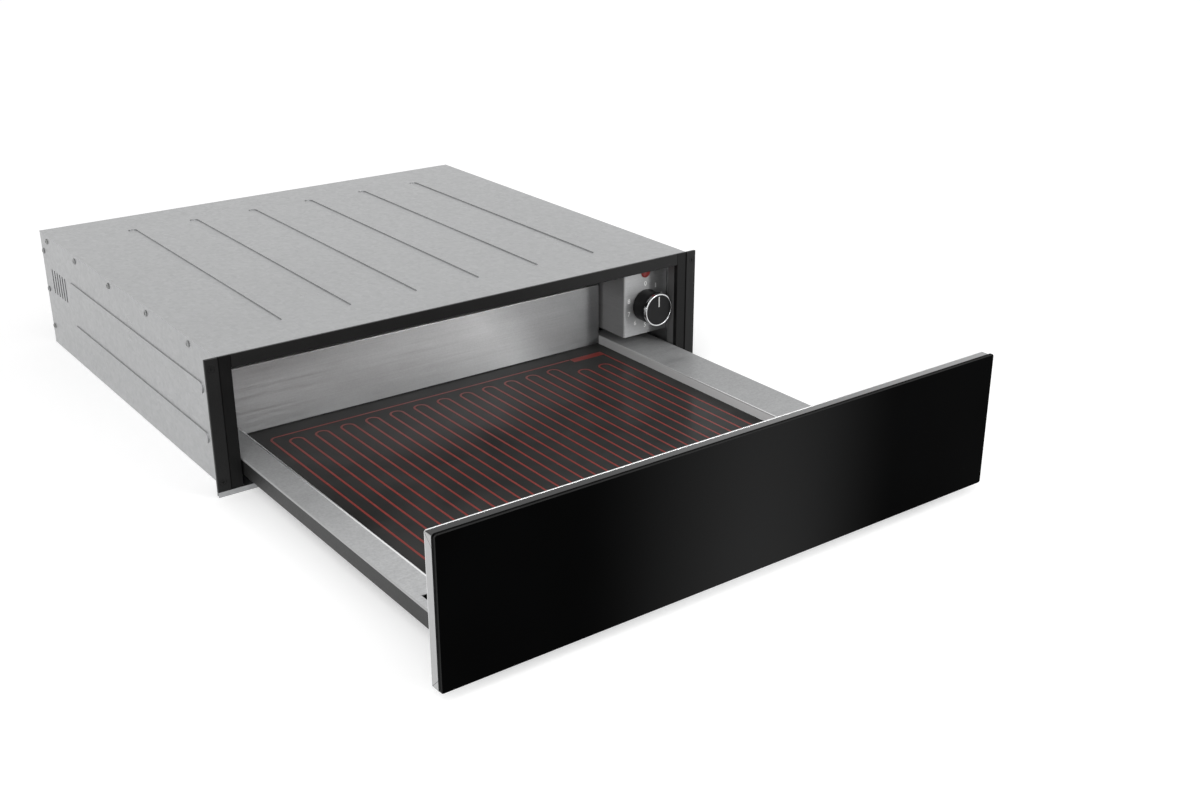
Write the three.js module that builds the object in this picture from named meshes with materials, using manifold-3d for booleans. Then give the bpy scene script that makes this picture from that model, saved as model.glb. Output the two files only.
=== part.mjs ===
// A built in warming drawer with its casing, runners, heated glass floor and control unit.
// Millimetres. X points right, Y from the front to the back, Z up.
// In the casing's own coordinates X = 0 is the middle, Y = 0 the front plane of the trims and Z = 0 the
// underside. The drawer is drawn shut in them and then pulled out by its travel, as it stands at rest.

import * as THREE from "three";
import { mergeVertices } from "three/addons/utils/BufferGeometryUtils.js";
import Module from "manifold-3d";

const wasm = await Module();
wasm.setup();

// ---------------------------------------------------------------- driving dimensions

// Front panel
const FRONT_WIDTH = 595;
const FRONT_HEIGHT = 131;
const FRONT_BOTTOM = 9; // lower edge above the underside of the casing
const CLOSED_GAP = 6; // between the front frame and the trims when the drawer is shut
const GLASS_THICKNESS = 3.7;
const GLASS_CORNER = 2.5;
const GLASS_ARRIS = 0.4;
const BOND_THICKNESS = 0.6;
const BOND_WIDTH = 14;
const BOND_INSET = 4;
const BOND_CORNER = 3;
const FRAME_DEPTH = 9;
const FRAME_DROP = 1.7; // the glass stands this much above the frame
const FRAME_SHEET = 1.2;
const FRAME_FLANGE = 18;
const FRAME_BEND = 1.5;
const INNER_PANEL_SHEET = 0.8;
const INNER_PANEL_INSET = 9;
const INNER_PANEL_CORNER = 3;
const BUFFER_DIAMETER = 10;
const BUFFER_CHAMFER = 0.6;

// Drawer
const TRAVEL = 399;
const DRAWER_WIDTH = 527.2;
const DRAWER_LENGTH = 482.7; // from the front frame to the back wall
const DRAWER_SHEET = 0.8;
const RAIL_TOP = 31.2; // above the underside of the casing, as the next four
const FLOOR_TOP = 21.2;
const WALL_TOP = 93.5;
const SKIRT_BOTTOM = 15;
const PAN_BOTTOM = 9.6;
const LEFT_RAIL_WIDTH = 28.2;
const RIGHT_RAIL_WIDTH = 50.6;
const RAIL_TAIL = 13.3; // how far the rails run past the back wall's front face
const LEDGE_WIDTH = 12; // carries the glass floor
const LEDGE_LEAF = 6; // its upright leaf on the rail's inner wall
const FLOOR_THICKNESS = 4;
const FLOOR_GAP = 0.5;
const WALL_FLANGE = 12;
const WALL_FOOT_CORNER = [4, 8]; // cut off the turned ends of the back wall, along Y and up
const RAIL_SLOT = [12, 8.5]; // across and along the rail
const RAIL_SLOT_FROM_SIDE = 8.2;
const RAIL_SLOT_FROM_FRAME = 78;
const CROSS_RAIL_DROP = 8;
const PAN_SHEET = 0.8;
const PAN_FLANGE = 11.5;

// Heating element, one flat ribbon to and fro under the glass floor
const LOOPS = 14;
const LOOP_PITCH = 28.3;
const LOOPS_MIDDLE = -9; // X of the middle of the field of loops
const RIBBON_WIDTH = 2.4;
const RIBBON_THICKNESS = 0.5;
const EDGE_LINE_SPACING = 14.2; // from the outer legs to the lines that run round the field
const LOOP_END = 36.5; // from the back wall to the loops' rear ends
const SHORT_LOOPS = 2;
const SHORT_LOOP_END = 56.5; // the loops that make room for the terminal pads
const REAR_LINE = 24; // from the back wall to the line behind the loops
const FRONT_TURN = 20; // from the front frame to the loops' front ends
const PAD_LENGTH = 23;
const PAD_WIDTH = 10;
const PAD_GAP = 2;
const STRAIGHT_SHARE = 0.998; // of half the spacing of two legs is their bend, the rest stays straight

// Casing
const CASING_WIDTH = 558;
const CASING_HEIGHT = 139;
const CASING_SHEET = 1;
const BASE_LIP = 5.2;
const BASE_UPTURN = 12;
const SIDE_FLANGE = 12.6; // outwards, behind the trim, for the screws into the cabinet
const TOP_FLANGE = 14;
const REAR_RECESS = 12;
const REAR_FLANGE = 10;
const VENT_SIZE = [30, 3.5];
const VENT_PITCH = 9;
const ROUND_SHARE = 0.49; // of the width of a slot or bead is the radius at its ends
const SIDE_VENTS = 6;
const REAR_VENTS = 12;
const BEAD_WIDTH = 10;
const BEAD_DEPTH = 1.2;
const BEAD_STEPS = 4; // of a quarter turn at its ends
const COVER_BEADS = 6;
const COVER_BEAD_PITCH = 76;
const COVER_BEAD_MARGIN = 60; // from the cover's front and rear edges
const SIDE_BEAD_HEIGHTS = [42, 94];
const SIDE_BEAD_START = 45;
const SIDE_BEAD_GAP = 20; // to the vents

// Front trims and crossbar
const OPENING_WIDTH = 532; // clear width between the trims
const CROSSBAR_HEIGHT = 13;
const TRIM_THICKNESS = 3;
const TRIM_STEP = 0.8; // the inner leaf stands this far back
const TRIM_GROOVE = 1.4;
const TRIM_WALL = 1.6;
const TRIM_RETURN = 17;
const TRIM_EDGE = 0.4; // the small chamfers of the trims, the crossbar and the screw heads
const SCREW_HEAD = 6.4;
const SCREW_SHANK = 3.4;
const SCREW_LENGTH = 16;
const SCREW_FROM_SIDE = 5.6; // from the outer edge of the trim
const SCREW_FROM_END = 10;
const SCREW_RECESS = [0.8, 1]; // width and depth of the cross in its head

// Runners
const RUNNER_LENGTH = 450;
const RUNNER_START = 20; // behind the trims
const RUNNER_HEIGHT = 22;
const RUNNER_DEPTH = 11;
const RUNNER_SHEETS = [1.4, 1.2, 1.2]; // cabinet, middle and drawer member
const RUNNER_LIPS = [3.6, 3.4]; // height of the lips that keep the next member in
const RUNNER_PROUD = 0.6; // the drawer member stands out of the others
const RUNNER_TOP_GAP = 0.8;
const RUNNER_NECK_BEND = 0.72;
const BRACKET_SHEET = 1.5;
const BRACKET_FOOT = 14;
const BRACKET_DROP = 1; // below the runner's top
const HANGER_SHEET = 1.5;
const HANGER_DROP = 17;
const HANGER_FLANGE = 11;
const FRONT_BRACKET_LEAF = 23;
const FRONT_BRACKET_GAP = 3; // to the runner

// Push catch
const CATCH_WIDTH = 28;
const CATCH_HEIGHT = 26;
const CATCH_DEPTH = 17;
const CATCH_CORNER = 4;
const CATCH_BACK = 2; // the wall behind its bore
const CATCH_MIDDLE = 56; // above the underside of the casing
const PLUNGER_DIAMETER = 8;
const PLUNGER_HEAD = 12;
const PLUNGER_HEAD_LENGTH = 3;
const PLUNGER_CHAMFER = [1, 0.6];
const PLUNGER_TRAVEL = 4;
const STRIKER_WIDTH = 22;
const STRIKER_HEIGHT = 20;
const STRIKER_DEPTH = 9.9; // from the back wall to its face
const STRIKER_FOOT = 8;
const STRIKER_SHEET = 1.5;

// Control unit
const BOX_WIDTH = 61.2;
const BOX_DEPTH = 180;
const BOX_FRONT = 33.7; // behind the front plane of the trims
const BOX_BOTTOM = 40;
const BOX_SHEET = 1;
const BOX_BEND = 2;
const KNOB_DIAMETER = 38;
const KNOB_LENGTH = 25;
const KNOB_GAP = 0.5; // to the control box
const KNOB_TAPER = 0.6; // the skirt is narrower by this much at the back
const KNOB_DISH = [1.4, 0.5, 0.8]; // the face: from its edge, depth there and depth in the middle
const KNOB_HEIGHT = 74.7; // above the underside of the casing
const RING_WIDTH = 1.8;
const RING_LENGTH = 4;
const POINTER_LENGTH = 12;
const POINTER_WIDTH = 1.4;
const POINTER_THICKNESS = 0.3;
const POINTER_FROM_RING = 1.6;
const SHAFT_DIAMETER = 6;
const SHAFT_FLAT = 1.2;
const COLLAR_DIAMETER = 10.4;
const THERMOSTAT_SIZE = [34, 24, 34];
const THERMOSTAT_BORE = 12;
const TAB_SIZE = [6.4, 9, 0.8]; // the flat blades for its wires
const TAB_SPACING = 18;
const TAB_HEIGHT = 4; // above the shaft
const LENS_DIAMETER = 13;
const LENS_DOME = 2.4;
const LENS_STEM = 2; // behind the box's front
const LENS_HEIGHT = 113.4;
const LAMP_DIAMETER = 9;
const LAMP_WALL = 1.5;
const LAMP_LENGTH = 24;
const LAMP_TAB_SIZE = [2.8, 6, 0.8];
const LAMP_TAB_SPACING = 6;

// Electrical fittings at the rear
const GLAND_DIAMETER = 18;
const GLAND_BORE = 8;
const GLAND_FLANGE = [2, 2.5]; // over the hole and thick
const GLAND_INSIDE = 8;
const GLAND_OUTSIDE = 10;
const GLAND_LIP = 1.5;
const GLAND_X = 200;
const GLAND_Z = 100;
const TERMINAL_SIZE = [40, 22, 18];
const TERMINAL_WELL = [6, 8]; // diameter and depth
const TERMINAL_WELL_PITCH = 12.5;
const TERMINAL_DROP = 6; // below the gland
const HEATER_TERMINAL_DEPTH = 10;
const HEATER_TERMINAL_WELL = [5, 5];
const HEATER_TERMINAL_INSET = 50; // from the right-hand rail
const CLAMP_SIZE = [18, 10, 16];
const CLAMP_BORE = 7;
const CLAMP_DISTANCE = 40; // from the heater terminal
const LIMITER_DIAMETER = 18;
const LIMITER_HEIGHT = 4.5;
const LIMITER_BASE = 3; // its wide part
const LIMITER_STEP = [2, 0.5]; // in at the top of that part, and the chamfer above it

// Clearances
const RUN = 0.3; // between pieces that slide or turn
const FIT = 0.3; // round a piece that sits in a hole or between two walls
const PRESS = 0.1; // between pieces that are pressed together
const BEYOND = 1; // how far a cutting tool reaches past what it cuts

// ---------------------------------------------------------------- places worked out from them

const frameRear = -CLOSED_GAP;
const frameFront = frameRear - FRAME_DEPTH;
const glassBack = frameFront - BOND_THICKNESS;
const glassFront = glassBack - GLASS_THICKNESS;
const frontTop = FRONT_BOTTOM + FRONT_HEIGHT;
const frameTop = frontTop - FRAME_DROP;
const panelRear = frameRear + INNER_PANEL_SHEET;
const drawerSide = DRAWER_WIDTH / 2;
const wallFront = frameRear + DRAWER_LENGTH;
const wallRear = wallFront + DRAWER_SHEET;
const floorBottom = FLOOR_TOP - FLOOR_THICKNESS;
const ledgeBottom = floorBottom - DRAWER_SHEET;
const railUnder = RAIL_TOP - DRAWER_SHEET;
const railBottom = ledgeBottom - LEDGE_LEAF; // of the rails' inner walls
const leftInner = -drawerSide + LEFT_RAIL_WIDTH; // the faces of the rails towards the food
const rightInner = drawerSide - RIGHT_RAIL_WIDTH;
const casingSide = CASING_WIDTH / 2;
const casingInner = casingSide - CASING_SHEET;
const flangeEdge = casingSide + SIDE_FLANGE;
const sideTop = CASING_HEIGHT - CASING_SHEET;
const strikerFace = wallRear + STRIKER_DEPTH;
const plungerTip = strikerFace + RUN;
const headRear = plungerTip + PLUNGER_HEAD_LENGTH;
const catchFront = headRear + PLUNGER_TRAVEL + RUN;
const rearInner = catchFront + CATCH_DEPTH; // the rear panel's inner face
const rearFace = rearInner + CASING_SHEET;
const casingDepth = rearFace + REAR_RECESS;
const openingSide = OPENING_WIDTH / 2;
const openingTop = CASING_HEIGHT - CROSSBAR_HEIGHT;
const runnerTop = railUnder - RUNNER_TOP_GAP;
const runnerMiddle = runnerTop - RUNNER_HEIGHT / 2;
const runnerEnd = RUNNER_START + RUNNER_LENGTH;
const bracketOuter = drawerSide - DRAWER_SHEET - RUNNER_TOP_GAP;
const runnerOuter = bracketOuter - BRACKET_SHEET;
const boxRight = casingInner - RUNNER_TOP_GAP;
const boxLeft = boxRight - BOX_WIDTH;
const boxMiddle = (boxLeft + boxRight) / 2;
const boxTop = sideTop - CASING_SHEET;
const boxInside = BOX_FRONT + BOX_SHEET;
const bottomOfRibbon = floorBottom - RIBBON_THICKNESS;

// ---------------------------------------------------------------- shapes

const X_AXIS = new THREE.Vector3(1, 0, 0);
const Y_AXIS = new THREE.Vector3(0, 1, 0);
const Z_AXIS = new THREE.Vector3(0, 0, 1);

// A block between two opposite corners.
function block(low, high) {
  const size = high.map((value, i) => value - low[i]);
  const middle = high.map((value, i) => (value + low[i]) / 2);
  return new THREE.BoxGeometry(...size).translate(...middle);
}

// A closed outline extruded along X, Y or Z, from start to end. The outline's own two coordinates are
// (Y, Z), (X, Z) and (X, Y).
function extruded(axis, points, start, end, holes = [], arcSteps = 6) {
  const shape = points instanceof THREE.Shape ? points : new THREE.Shape(points);
  shape.holes.push(...holes);
  const body = new THREE.ExtrudeGeometry(shape, {
    depth: end - start,
    bevelEnabled: false,
    curveSegments: arcSteps,
  });
  const turn = new THREE.Matrix4();
  if (axis === "x") turn.makeBasis(Y_AXIS, Z_AXIS, X_AXIS);
  if (axis === "y") turn.makeBasis(X_AXIS, Z_AXIS, Y_AXIS.clone().negate());
  body.applyMatrix4(turn);
  if (axis === "x") return body.translate(start, 0, 0);
  if (axis === "y") return body.translate(0, end, 0);
  return body.translate(0, 0, start);
}

// The outline of a sheet or ribbon folded along a mid-line that is given by its corners.
// bend is the mid-line's radius at the corners.
function folded(corners, thickness, bend, steps = 3) {
  const line = corners.map(([u, v]) => new THREE.Vector2(u, v));
  const left = [];
  const right = [];
  const mark = (point, normal) => {
    left.push(point.clone().addScaledVector(normal, thickness / 2));
    right.push(point.clone().addScaledVector(normal, -thickness / 2));
  };
  const normalOf = (a, b) => {
    const way = b.clone().sub(a).normalize();
    return new THREE.Vector2(-way.y, way.x);
  };
  mark(line[0], normalOf(line[0], line[1]));
  for (let i = 1; i < line.length - 1; i++) {
    const before = normalOf(line[i - 1], line[i]);
    const after = normalOf(line[i], line[i + 1]);
    const angle = Math.atan2(before.cross(after), before.dot(after));
    const side = Math.sign(angle);
    const back = bend * Math.tan(Math.abs(angle) / 2);
    const way = new THREE.Vector2(before.y, -before.x);
    const centre = line[i].clone().addScaledVector(way, -back).addScaledVector(before, side * bend);
    for (let k = 0; k <= steps; k++) {
      const normal = before.clone().rotateAround(new THREE.Vector2(), (angle * k) / steps);
      mark(centre.clone().addScaledVector(normal, -side * bend), normal);
    }
  }
  const end = line.length - 1;
  mark(line[end], normalOf(line[end - 1], line[end]));
  return [...left, ...right.reverse()];
}

// The same outline on the other side of X = 0, or unchanged where side is 1.
function mirrored(points, side) {
  return points.map(([u, v]) => [u * side, v]);
}

// A rectangle with round corners, as a closed path or shape.
function roundedRectangle(kind, u0, v0, u1, v1, radius) {
  const path = new kind();
  path.moveTo(u0 + radius, v0);
  path.lineTo(u1 - radius, v0);
  path.absarc(u1 - radius, v0 + radius, radius, -Math.PI / 2, 0);
  path.lineTo(u1, v1 - radius);
  path.absarc(u1 - radius, v1 - radius, radius, 0, Math.PI / 2);
  path.lineTo(u0 + radius, v1);
  path.absarc(u0 + radius, v1 - radius, radius, Math.PI / 2, Math.PI);
  path.lineTo(u0, v0 + radius);
  path.absarc(u0 + radius, v0 + radius, radius, Math.PI, 1.5 * Math.PI);
  return path;
}

// A turned piece on an axis along Y: the profile is radius and Y, from the front of the axis to its back.
function turned(profile, x, z, segments = 32) {
  const points = profile.map(([radius, y]) => new THREE.Vector2(radius, y));
  return new THREE.LatheGeometry(points, segments).translate(x, 0, z);
}

// A round pin along Y.
function pin(diameter, x, z, start, end, segments = 24) {
  const radius = diameter / 2;
  return turned([[0, start], [radius, start], [radius, end], [0, end]], x, z, segments);
}

// ---------------------------------------------------------------- joining and cutting

function solid(geometry) {
  const bare = geometry.clone();
  bare.deleteAttribute("normal");
  bare.deleteAttribute("uv");
  const merged = mergeVertices(bare, 1e-4);
  return new wasm.Manifold(
    new wasm.Mesh({
      numProp: 3,
      vertProperties: merged.attributes.position.array,
      triVerts: new Uint32Array(merged.index.array),
    }),
  );
}

function geometryOf(manifold) {
  const mesh = manifold.getMesh();
  const geometry = new THREE.BufferGeometry();
  geometry.setAttribute("position", new THREE.BufferAttribute(mesh.vertProperties, 3));
  geometry.setIndex(new THREE.BufferAttribute(mesh.triVerts, 1));
  geometry.computeVertexNormals();
  return geometry;
}

function joined(...geometries) {
  return geometryOf(geometries.map(solid).reduce((whole, piece) => whole.add(piece)));
}

function cut(geometry, ...tools) {
  return geometryOf(tools.map(solid).reduce((whole, tool) => whole.subtract(tool), solid(geometry)));
}

// ---------------------------------------------------------------- materials and groups

function finish(color, roughness, metalness) {
  return new THREE.MeshStandardMaterial({ color, roughness, metalness });
}

const BLACK_GLASS = finish(0x050505, 0.05, 0);
const FLOOR_GLASS = finish(0x1c1c1e, 0.12, 0);
const SILVER = finish(0xb4b5b6, 0.35, 1);
const BRUSHED_STEEL = finish(0xa6a7a8, 0.4, 1);
const GALVANISED = finish(0x9a9d9f, 0.5, 1);
const RUNNER_STEEL = finish(0x8d9092, 0.35, 1);
const BLACK_PAINT = finish(0x1a1a1b, 0.5, 0);
const BLACK_PLASTIC = finish(0x111112, 0.35, 0);
const BLACK_RUBBER = finish(0x161616, 0.9, 0);
const CHROME = finish(0xe0e2e4, 0.08, 1);
const WHITE_PLASTIC = finish(0xe8e8e6, 0.5, 0);
const RED_LENS = finish(0x8c1512, 0.2, 0);
const RED_FOIL = finish(0x8a2a24, 0.5, 0.3);
const MINERAL_WOOL = finish(0xc9c2ad, 1, 0);
const CERAMIC = finish(0xd9d4c8, 0.6, 0);

const casing = new THREE.Group();
const drawer = new THREE.Group();
const middles = new THREE.Group();
const knob = new THREE.Group();
const plunger = new THREE.Group();

function add(group, name, geometry, material) {
  const mesh = new THREE.Mesh(geometry, material);
  mesh.name = name;
  group.add(mesh);
}

const SIDES = [
  ["left", -1],
  ["right", 1],
];

// ---------------------------------------------------------------- casing

// The floor of the casing, with upturned sides and the lip that shows under the front.
function basePan() {
  const half = CASING_SHEET / 2;
  const side = casingInner - half;
  const path = [[-side, CASING_SHEET + BASE_UPTURN], [-side, half], [side, half]];
  path.push([side, CASING_SHEET + BASE_UPTURN]);
  const rear = casingDepth - 2 * CASING_SHEET;
  const pan = extruded("y", folded(path, CASING_SHEET, CASING_SHEET), TRIM_RETURN + FIT, rear);
  const floor = block([-casingSide, 0, 0], [casingSide, casingDepth, CASING_SHEET]);
  const lip = block([-flangeEdge, 0, 0], [flangeEdge, CASING_SHEET, BASE_LIP]);
  return joined(pan, floor, lip);
}

// An upright slot with round ends, its middle line at u.
function ventOutline(u) {
  const half = VENT_SIZE[1] / 2;
  const low = sideTop / 2;
  return roundedRectangle(
    THREE.Shape, u - half, low, u + half, low + VENT_SIZE[0], VENT_SIZE[1] * ROUND_SHARE,
  );
}

// The tools for the slots in a side panel, in a row along Y.
function sideVents(sign) {
  const x = sign * casingSide;
  const slots = [];
  for (let i = 0; i < SIDE_VENTS; i++) {
    const outline = ventOutline(rearFace - (i + 2) * VENT_PITCH);
    slots.push(extruded("x", outline, x - 2 * CASING_SHEET, x + 2 * CASING_SHEET, [], 2));
  }
  return slots;
}

// Long stiffening beads pressed into a sheet. face is the sheet's face on their hollow side, way is the
// sign of the direction in which they are pressed, and each bead is its low and high corner.
function beaded(sheet, beads, axis, face, way) {
  const outline = ([u0, v0, u1, v1], wider) => roundedRectangle(
    THREE.Shape, u0 - wider, v0 - wider, u1 + wider, v1 + wider, BEAD_WIDTH * ROUND_SHARE + wider,
  );
  const pressed = (bead, wider, from, to) => {
    const [start, end] = [face + way * from, face + way * to].sort((a, b) => a - b);
    return extruded(axis, outline(bead, wider), start, end, [], BEAD_STEPS);
  };
  const deep = BEAD_DEPTH + CASING_SHEET;
  const walls = beads.map((bead) => pressed(bead, CASING_SHEET, CASING_SHEET / 2, deep));
  const hollows = beads.map((bead) => pressed(bead, 0, -BEYOND, BEAD_DEPTH));
  return cut(joined(sheet, ...walls), ...hollows);
}

// The beads of a side panel, one above the other, end before the vents.
function sideBeads() {
  const end = rearFace - (SIDE_VENTS + 1) * VENT_PITCH - SIDE_BEAD_GAP;
  return SIDE_BEAD_HEIGHTS.map((z) => [
    SIDE_BEAD_START, z - BEAD_WIDTH / 2, end, z + BEAD_WIDTH / 2,
  ]);
}

// A side of the casing: its front edge turns outwards behind the trim, its rear and top edges inwards.
function sidePanel(sign) {
  const half = CASING_SHEET / 2;
  const x = casingSide - half;
  const front = TRIM_THICKNESS + half;
  const rear = casingDepth - half;
  const path = [[flangeEdge, front], [x, front], [x, rear], [x - REAR_FLANGE, rear]];
  const outline = folded(mirrored(path, sign), CASING_SHEET, CASING_SHEET);
  const wall = extruded("z", outline, CASING_SHEET, sideTop);
  const xs = [sign * (casingInner - TOP_FLANGE), sign * (casingInner + half)].sort((a, b) => a - b);
  const low = [xs[0], TRIM_RETURN + FIT, sideTop - CASING_SHEET];
  const flange = block(low, [xs[1], casingDepth - 2 * CASING_SHEET, sideTop]);
  const panel = beaded(joined(wall, flange), sideBeads(), "x", sign * casingInner, sign);
  return cut(panel, ...sideVents(sign), ...screwHoles(sign));
}

// The heights of the two screws of each trim.
const screwHeights = [BASE_LIP + SCREW_FROM_END, CASING_HEIGHT - SCREW_FROM_END];

function screwHoles(sign) {
  const x = sign * (flangeEdge - SCREW_FROM_SIDE);
  return screwHeights.map((z) => pin(SCREW_SHANK + 2 * FIT, x, z, -BEYOND, TRIM_RETURN, 16));
}

// The beads of the cover, side by side, from front to back.
function coverBeads() {
  const beads = [];
  for (let i = 0; i < COVER_BEADS; i++) {
    const x = (i - (COVER_BEADS - 1) / 2) * COVER_BEAD_PITCH;
    beads.push([
      x - BEAD_WIDTH / 2, COVER_BEAD_MARGIN, x + BEAD_WIDTH / 2, casingDepth - COVER_BEAD_MARGIN,
    ]);
  }
  return beads;
}

// The lid of the casing rests on the side panels; its front edge turns down behind the crossbar.
function topCover() {
  const half = CASING_SHEET / 2;
  const front = TRIM_THICKNESS + half;
  const z = CASING_HEIGHT - half;
  const path = [[front, openingTop + TRIM_WALL + FIT], [front, z], [casingDepth, z]];
  const cover = extruded("x", folded(path, CASING_SHEET, CASING_SHEET), -casingSide, casingSide);
  const corners = SIDES.map(([, sign]) => {
    const xs = [sign * (openingSide - FIT), sign * (casingSide + BEYOND)].sort((a, b) => a - b);
    return block([xs[0], 0, 0], [xs[1], TRIM_RETURN + FIT, sideTop]);
  });
  return cut(beaded(cover, coverBeads(), "z", CASING_HEIGHT, -1), ...corners);
}

// The back of the casing stands inside the side panels' rear flanges.
function rearPanel() {
  const half = CASING_SHEET / 2;
  const y = rearFace - half;
  const low = CASING_SHEET + half;
  const high = boxTop - half;
  const rear = casingDepth - CASING_SHEET - FIT;
  const path = [[rear, low], [y, low], [y, high], [rear, high]];
  const side = casingInner - 2 * CASING_SHEET;
  const panel = extruded("x", folded(path, CASING_SHEET, CASING_SHEET), -side, side);
  const front = rearInner - BEYOND;
  const back = rearFace + BEYOND;
  const vents = [];
  for (let i = 0; i < REAR_VENTS; i++) {
    vents.push(extruded("y", ventOutline(-casingSide / 2 + i * VENT_PITCH), front, back, [], 2));
  }
  const hole = GLAND_DIAMETER - 2 * GLAND_FLANGE[0] + 2 * FIT;
  return cut(panel, pin(hole, GLAND_X, GLAND_Z, front, back), ...vents);
}

// A black trim: the outer leaf covers the side panel's flange, a groove, then the inner leaf and the
// return into the casing.
function trimOutline(sign) {
  const step = TRIM_STEP;
  const groove = casingSide - TRIM_GROOVE;
  const inner = openingSide;
  const points = [
    [flangeEdge, TRIM_THICKNESS], [flangeEdge, TRIM_EDGE], [flangeEdge - TRIM_EDGE, 0],
    [casingSide, 0], [casingSide, 2 * step], [groove, 2 * step], [groove, step],
    [inner + TRIM_EDGE, step], [inner, step + TRIM_EDGE],
    [inner, TRIM_RETURN], [inner + TRIM_WALL, TRIM_RETURN], [inner + TRIM_WALL, TRIM_THICKNESS],
  ];
  return new THREE.Shape(mirrored(points, sign).map(([x, y]) => new THREE.Vector2(x, y)));
}

function frontTrim(sign) {
  const trim = extruded("z", trimOutline(sign), BASE_LIP, CASING_HEIGHT);
  const sinks = screwHeights.map((z) => {
    const wide = SCREW_HEAD / 2 + FIT;
    const narrow = SCREW_SHANK / 2 + FIT;
    const profile = [[0, -BEYOND], [wide, -BEYOND], [wide, TRIM_EDGE]];
    profile.push([narrow, TRIM_EDGE + wide - narrow], [narrow, TRIM_RETURN], [0, TRIM_RETURN]);
    return turned(profile, sign * (flangeEdge - SCREW_FROM_SIDE), z, 16);
  });
  const underCover = block(
    [-flangeEdge, TRIM_THICKNESS, sideTop],
    [flangeEdge, TRIM_RETURN + BEYOND, CASING_HEIGHT + BEYOND],
  );
  return cut(trim, underCover, ...sinks);
}

// A countersunk screw with a cross recess, from the trim through the flange into the cabinet.
function trimScrew(sign, z) {
  const x = sign * (flangeEdge - SCREW_FROM_SIDE);
  const head = SCREW_HEAD / 2;
  const shank = SCREW_SHANK / 2;
  const profile = [[0, 0], [head, 0], [head, TRIM_EDGE], [shank, TRIM_EDGE + head - shank]];
  profile.push([shank, SCREW_LENGTH - 2 * shank], [0, SCREW_LENGTH]);
  const [wide, deep] = SCREW_RECESS;
  const bars = [[head / 2, wide / 2], [wide / 2, head / 2]];
  const recess = bars.map(([u, v]) => block([x - u, -BEYOND, z - v], [x + u, deep, z + v]));
  return cut(turned(profile, x, z, 16), ...recess);
}

// The bar over the opening, with a return along its lower edge.
function crossbar() {
  const points = [
    [TRIM_STEP, openingTop + TRIM_EDGE], [TRIM_STEP + TRIM_EDGE, openingTop],
    [TRIM_RETURN, openingTop],
    [TRIM_RETURN, openingTop + TRIM_WALL], [TRIM_THICKNESS, openingTop + TRIM_WALL],
    [TRIM_THICKNESS, CASING_HEIGHT], [TRIM_STEP, CASING_HEIGHT],
  ];
  const side = openingSide - FIT;
  return extruded("x", points.map(([y, z]) => new THREE.Vector2(y, z)), -side, side);
}

function addCasing() {
  add(casing, "base_pan", basePan(), GALVANISED);
  add(casing, "top_cover", topCover(), GALVANISED);
  add(casing, "rear_panel", rearPanel(), GALVANISED);
  add(casing, "front_crossbar", crossbar(), BLACK_PAINT);
  for (const [name, sign] of SIDES) {
    add(casing, `side_panel_${name}`, sidePanel(sign), GALVANISED);
    add(casing, `front_trim_${name}`, frontTrim(sign), BLACK_PAINT);
    add(casing, `trim_screw_${name}_lower`, trimScrew(sign, screwHeights[0]), BLACK_PAINT);
    add(casing, `trim_screw_${name}_upper`, trimScrew(sign, screwHeights[1]), BLACK_PAINT);
  }
}

// ---------------------------------------------------------------- runners

// An outline in the runner's own section: across counts from the cabinet member's web towards the
// middle of the drawer, up from the runner's mid-height.
function runnerPoints(sign, points) {
  return points.map(([across, up]) => [sign * (runnerOuter - across), runnerMiddle + up]);
}

// A channel with lips, open towards the drawer.
function channel(from, to, halfHeight, sheet, lip) {
  const half = sheet / 2;
  const open = to - half;
  const up = halfHeight - half;
  const end = halfHeight - lip;
  return [[open, end], [open, up], [from + half, up], [from + half, -up], [open, -up], [open, -end]];
}

// The three members of a runner nest inside each other with running clearance.
const cabinetHalf = RUNNER_HEIGHT / 2;
const middleHalf = cabinetHalf - RUNNER_SHEETS[0] - RUN;
const drawerHalf = middleHalf - RUNNER_SHEETS[1] - RUN;
const middleFrom = RUNNER_SHEETS[0] + RUN;
const middleTo = RUNNER_DEPTH - RUNNER_SHEETS[0] - RUN;
const innerFrom = middleFrom + RUNNER_SHEETS[1] + RUN;
const innerTo = middleTo - RUNNER_SHEETS[1] - RUN;
const runnerFace = RUNNER_DEPTH + RUNNER_PROUD;

function cabinetMember(sign) {
  const points = channel(0, RUNNER_DEPTH, cabinetHalf, RUNNER_SHEETS[0], RUNNER_LIPS[0]);
  const outline = folded(runnerPoints(sign, points), RUNNER_SHEETS[0], RUNNER_SHEETS[0]);
  return extruded("y", outline, RUNNER_START, runnerEnd);
}

function middleMember(sign) {
  const points = channel(middleFrom, middleTo, middleHalf, RUNNER_SHEETS[1], RUNNER_LIPS[1]);
  const outline = folded(runnerPoints(sign, points), RUNNER_SHEETS[1], RUNNER_SHEETS[1]);
  return extruded("y", outline, RUNNER_START, runnerEnd);
}

// The drawer member: wide inside the middle member, narrow where it comes out between its lips.
function drawerMember(sign) {
  const half = RUNNER_SHEETS[2] / 2;
  const wide = drawerHalf - half;
  const neck = middleHalf - RUNNER_LIPS[1] - RUN - half;
  const turn = innerTo - half;
  const face = runnerFace - half;
  const upper = [[innerFrom, wide], [turn, wide], [turn, neck], [face, neck]];
  const lower = upper.map(([across, up]) => [across, -up]).reverse();
  const outline = folded(runnerPoints(sign, [...upper, ...lower]), RUNNER_SHEETS[2], RUNNER_NECK_BEND);
  return extruded("y", outline, RUNNER_START, runnerEnd);
}

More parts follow.
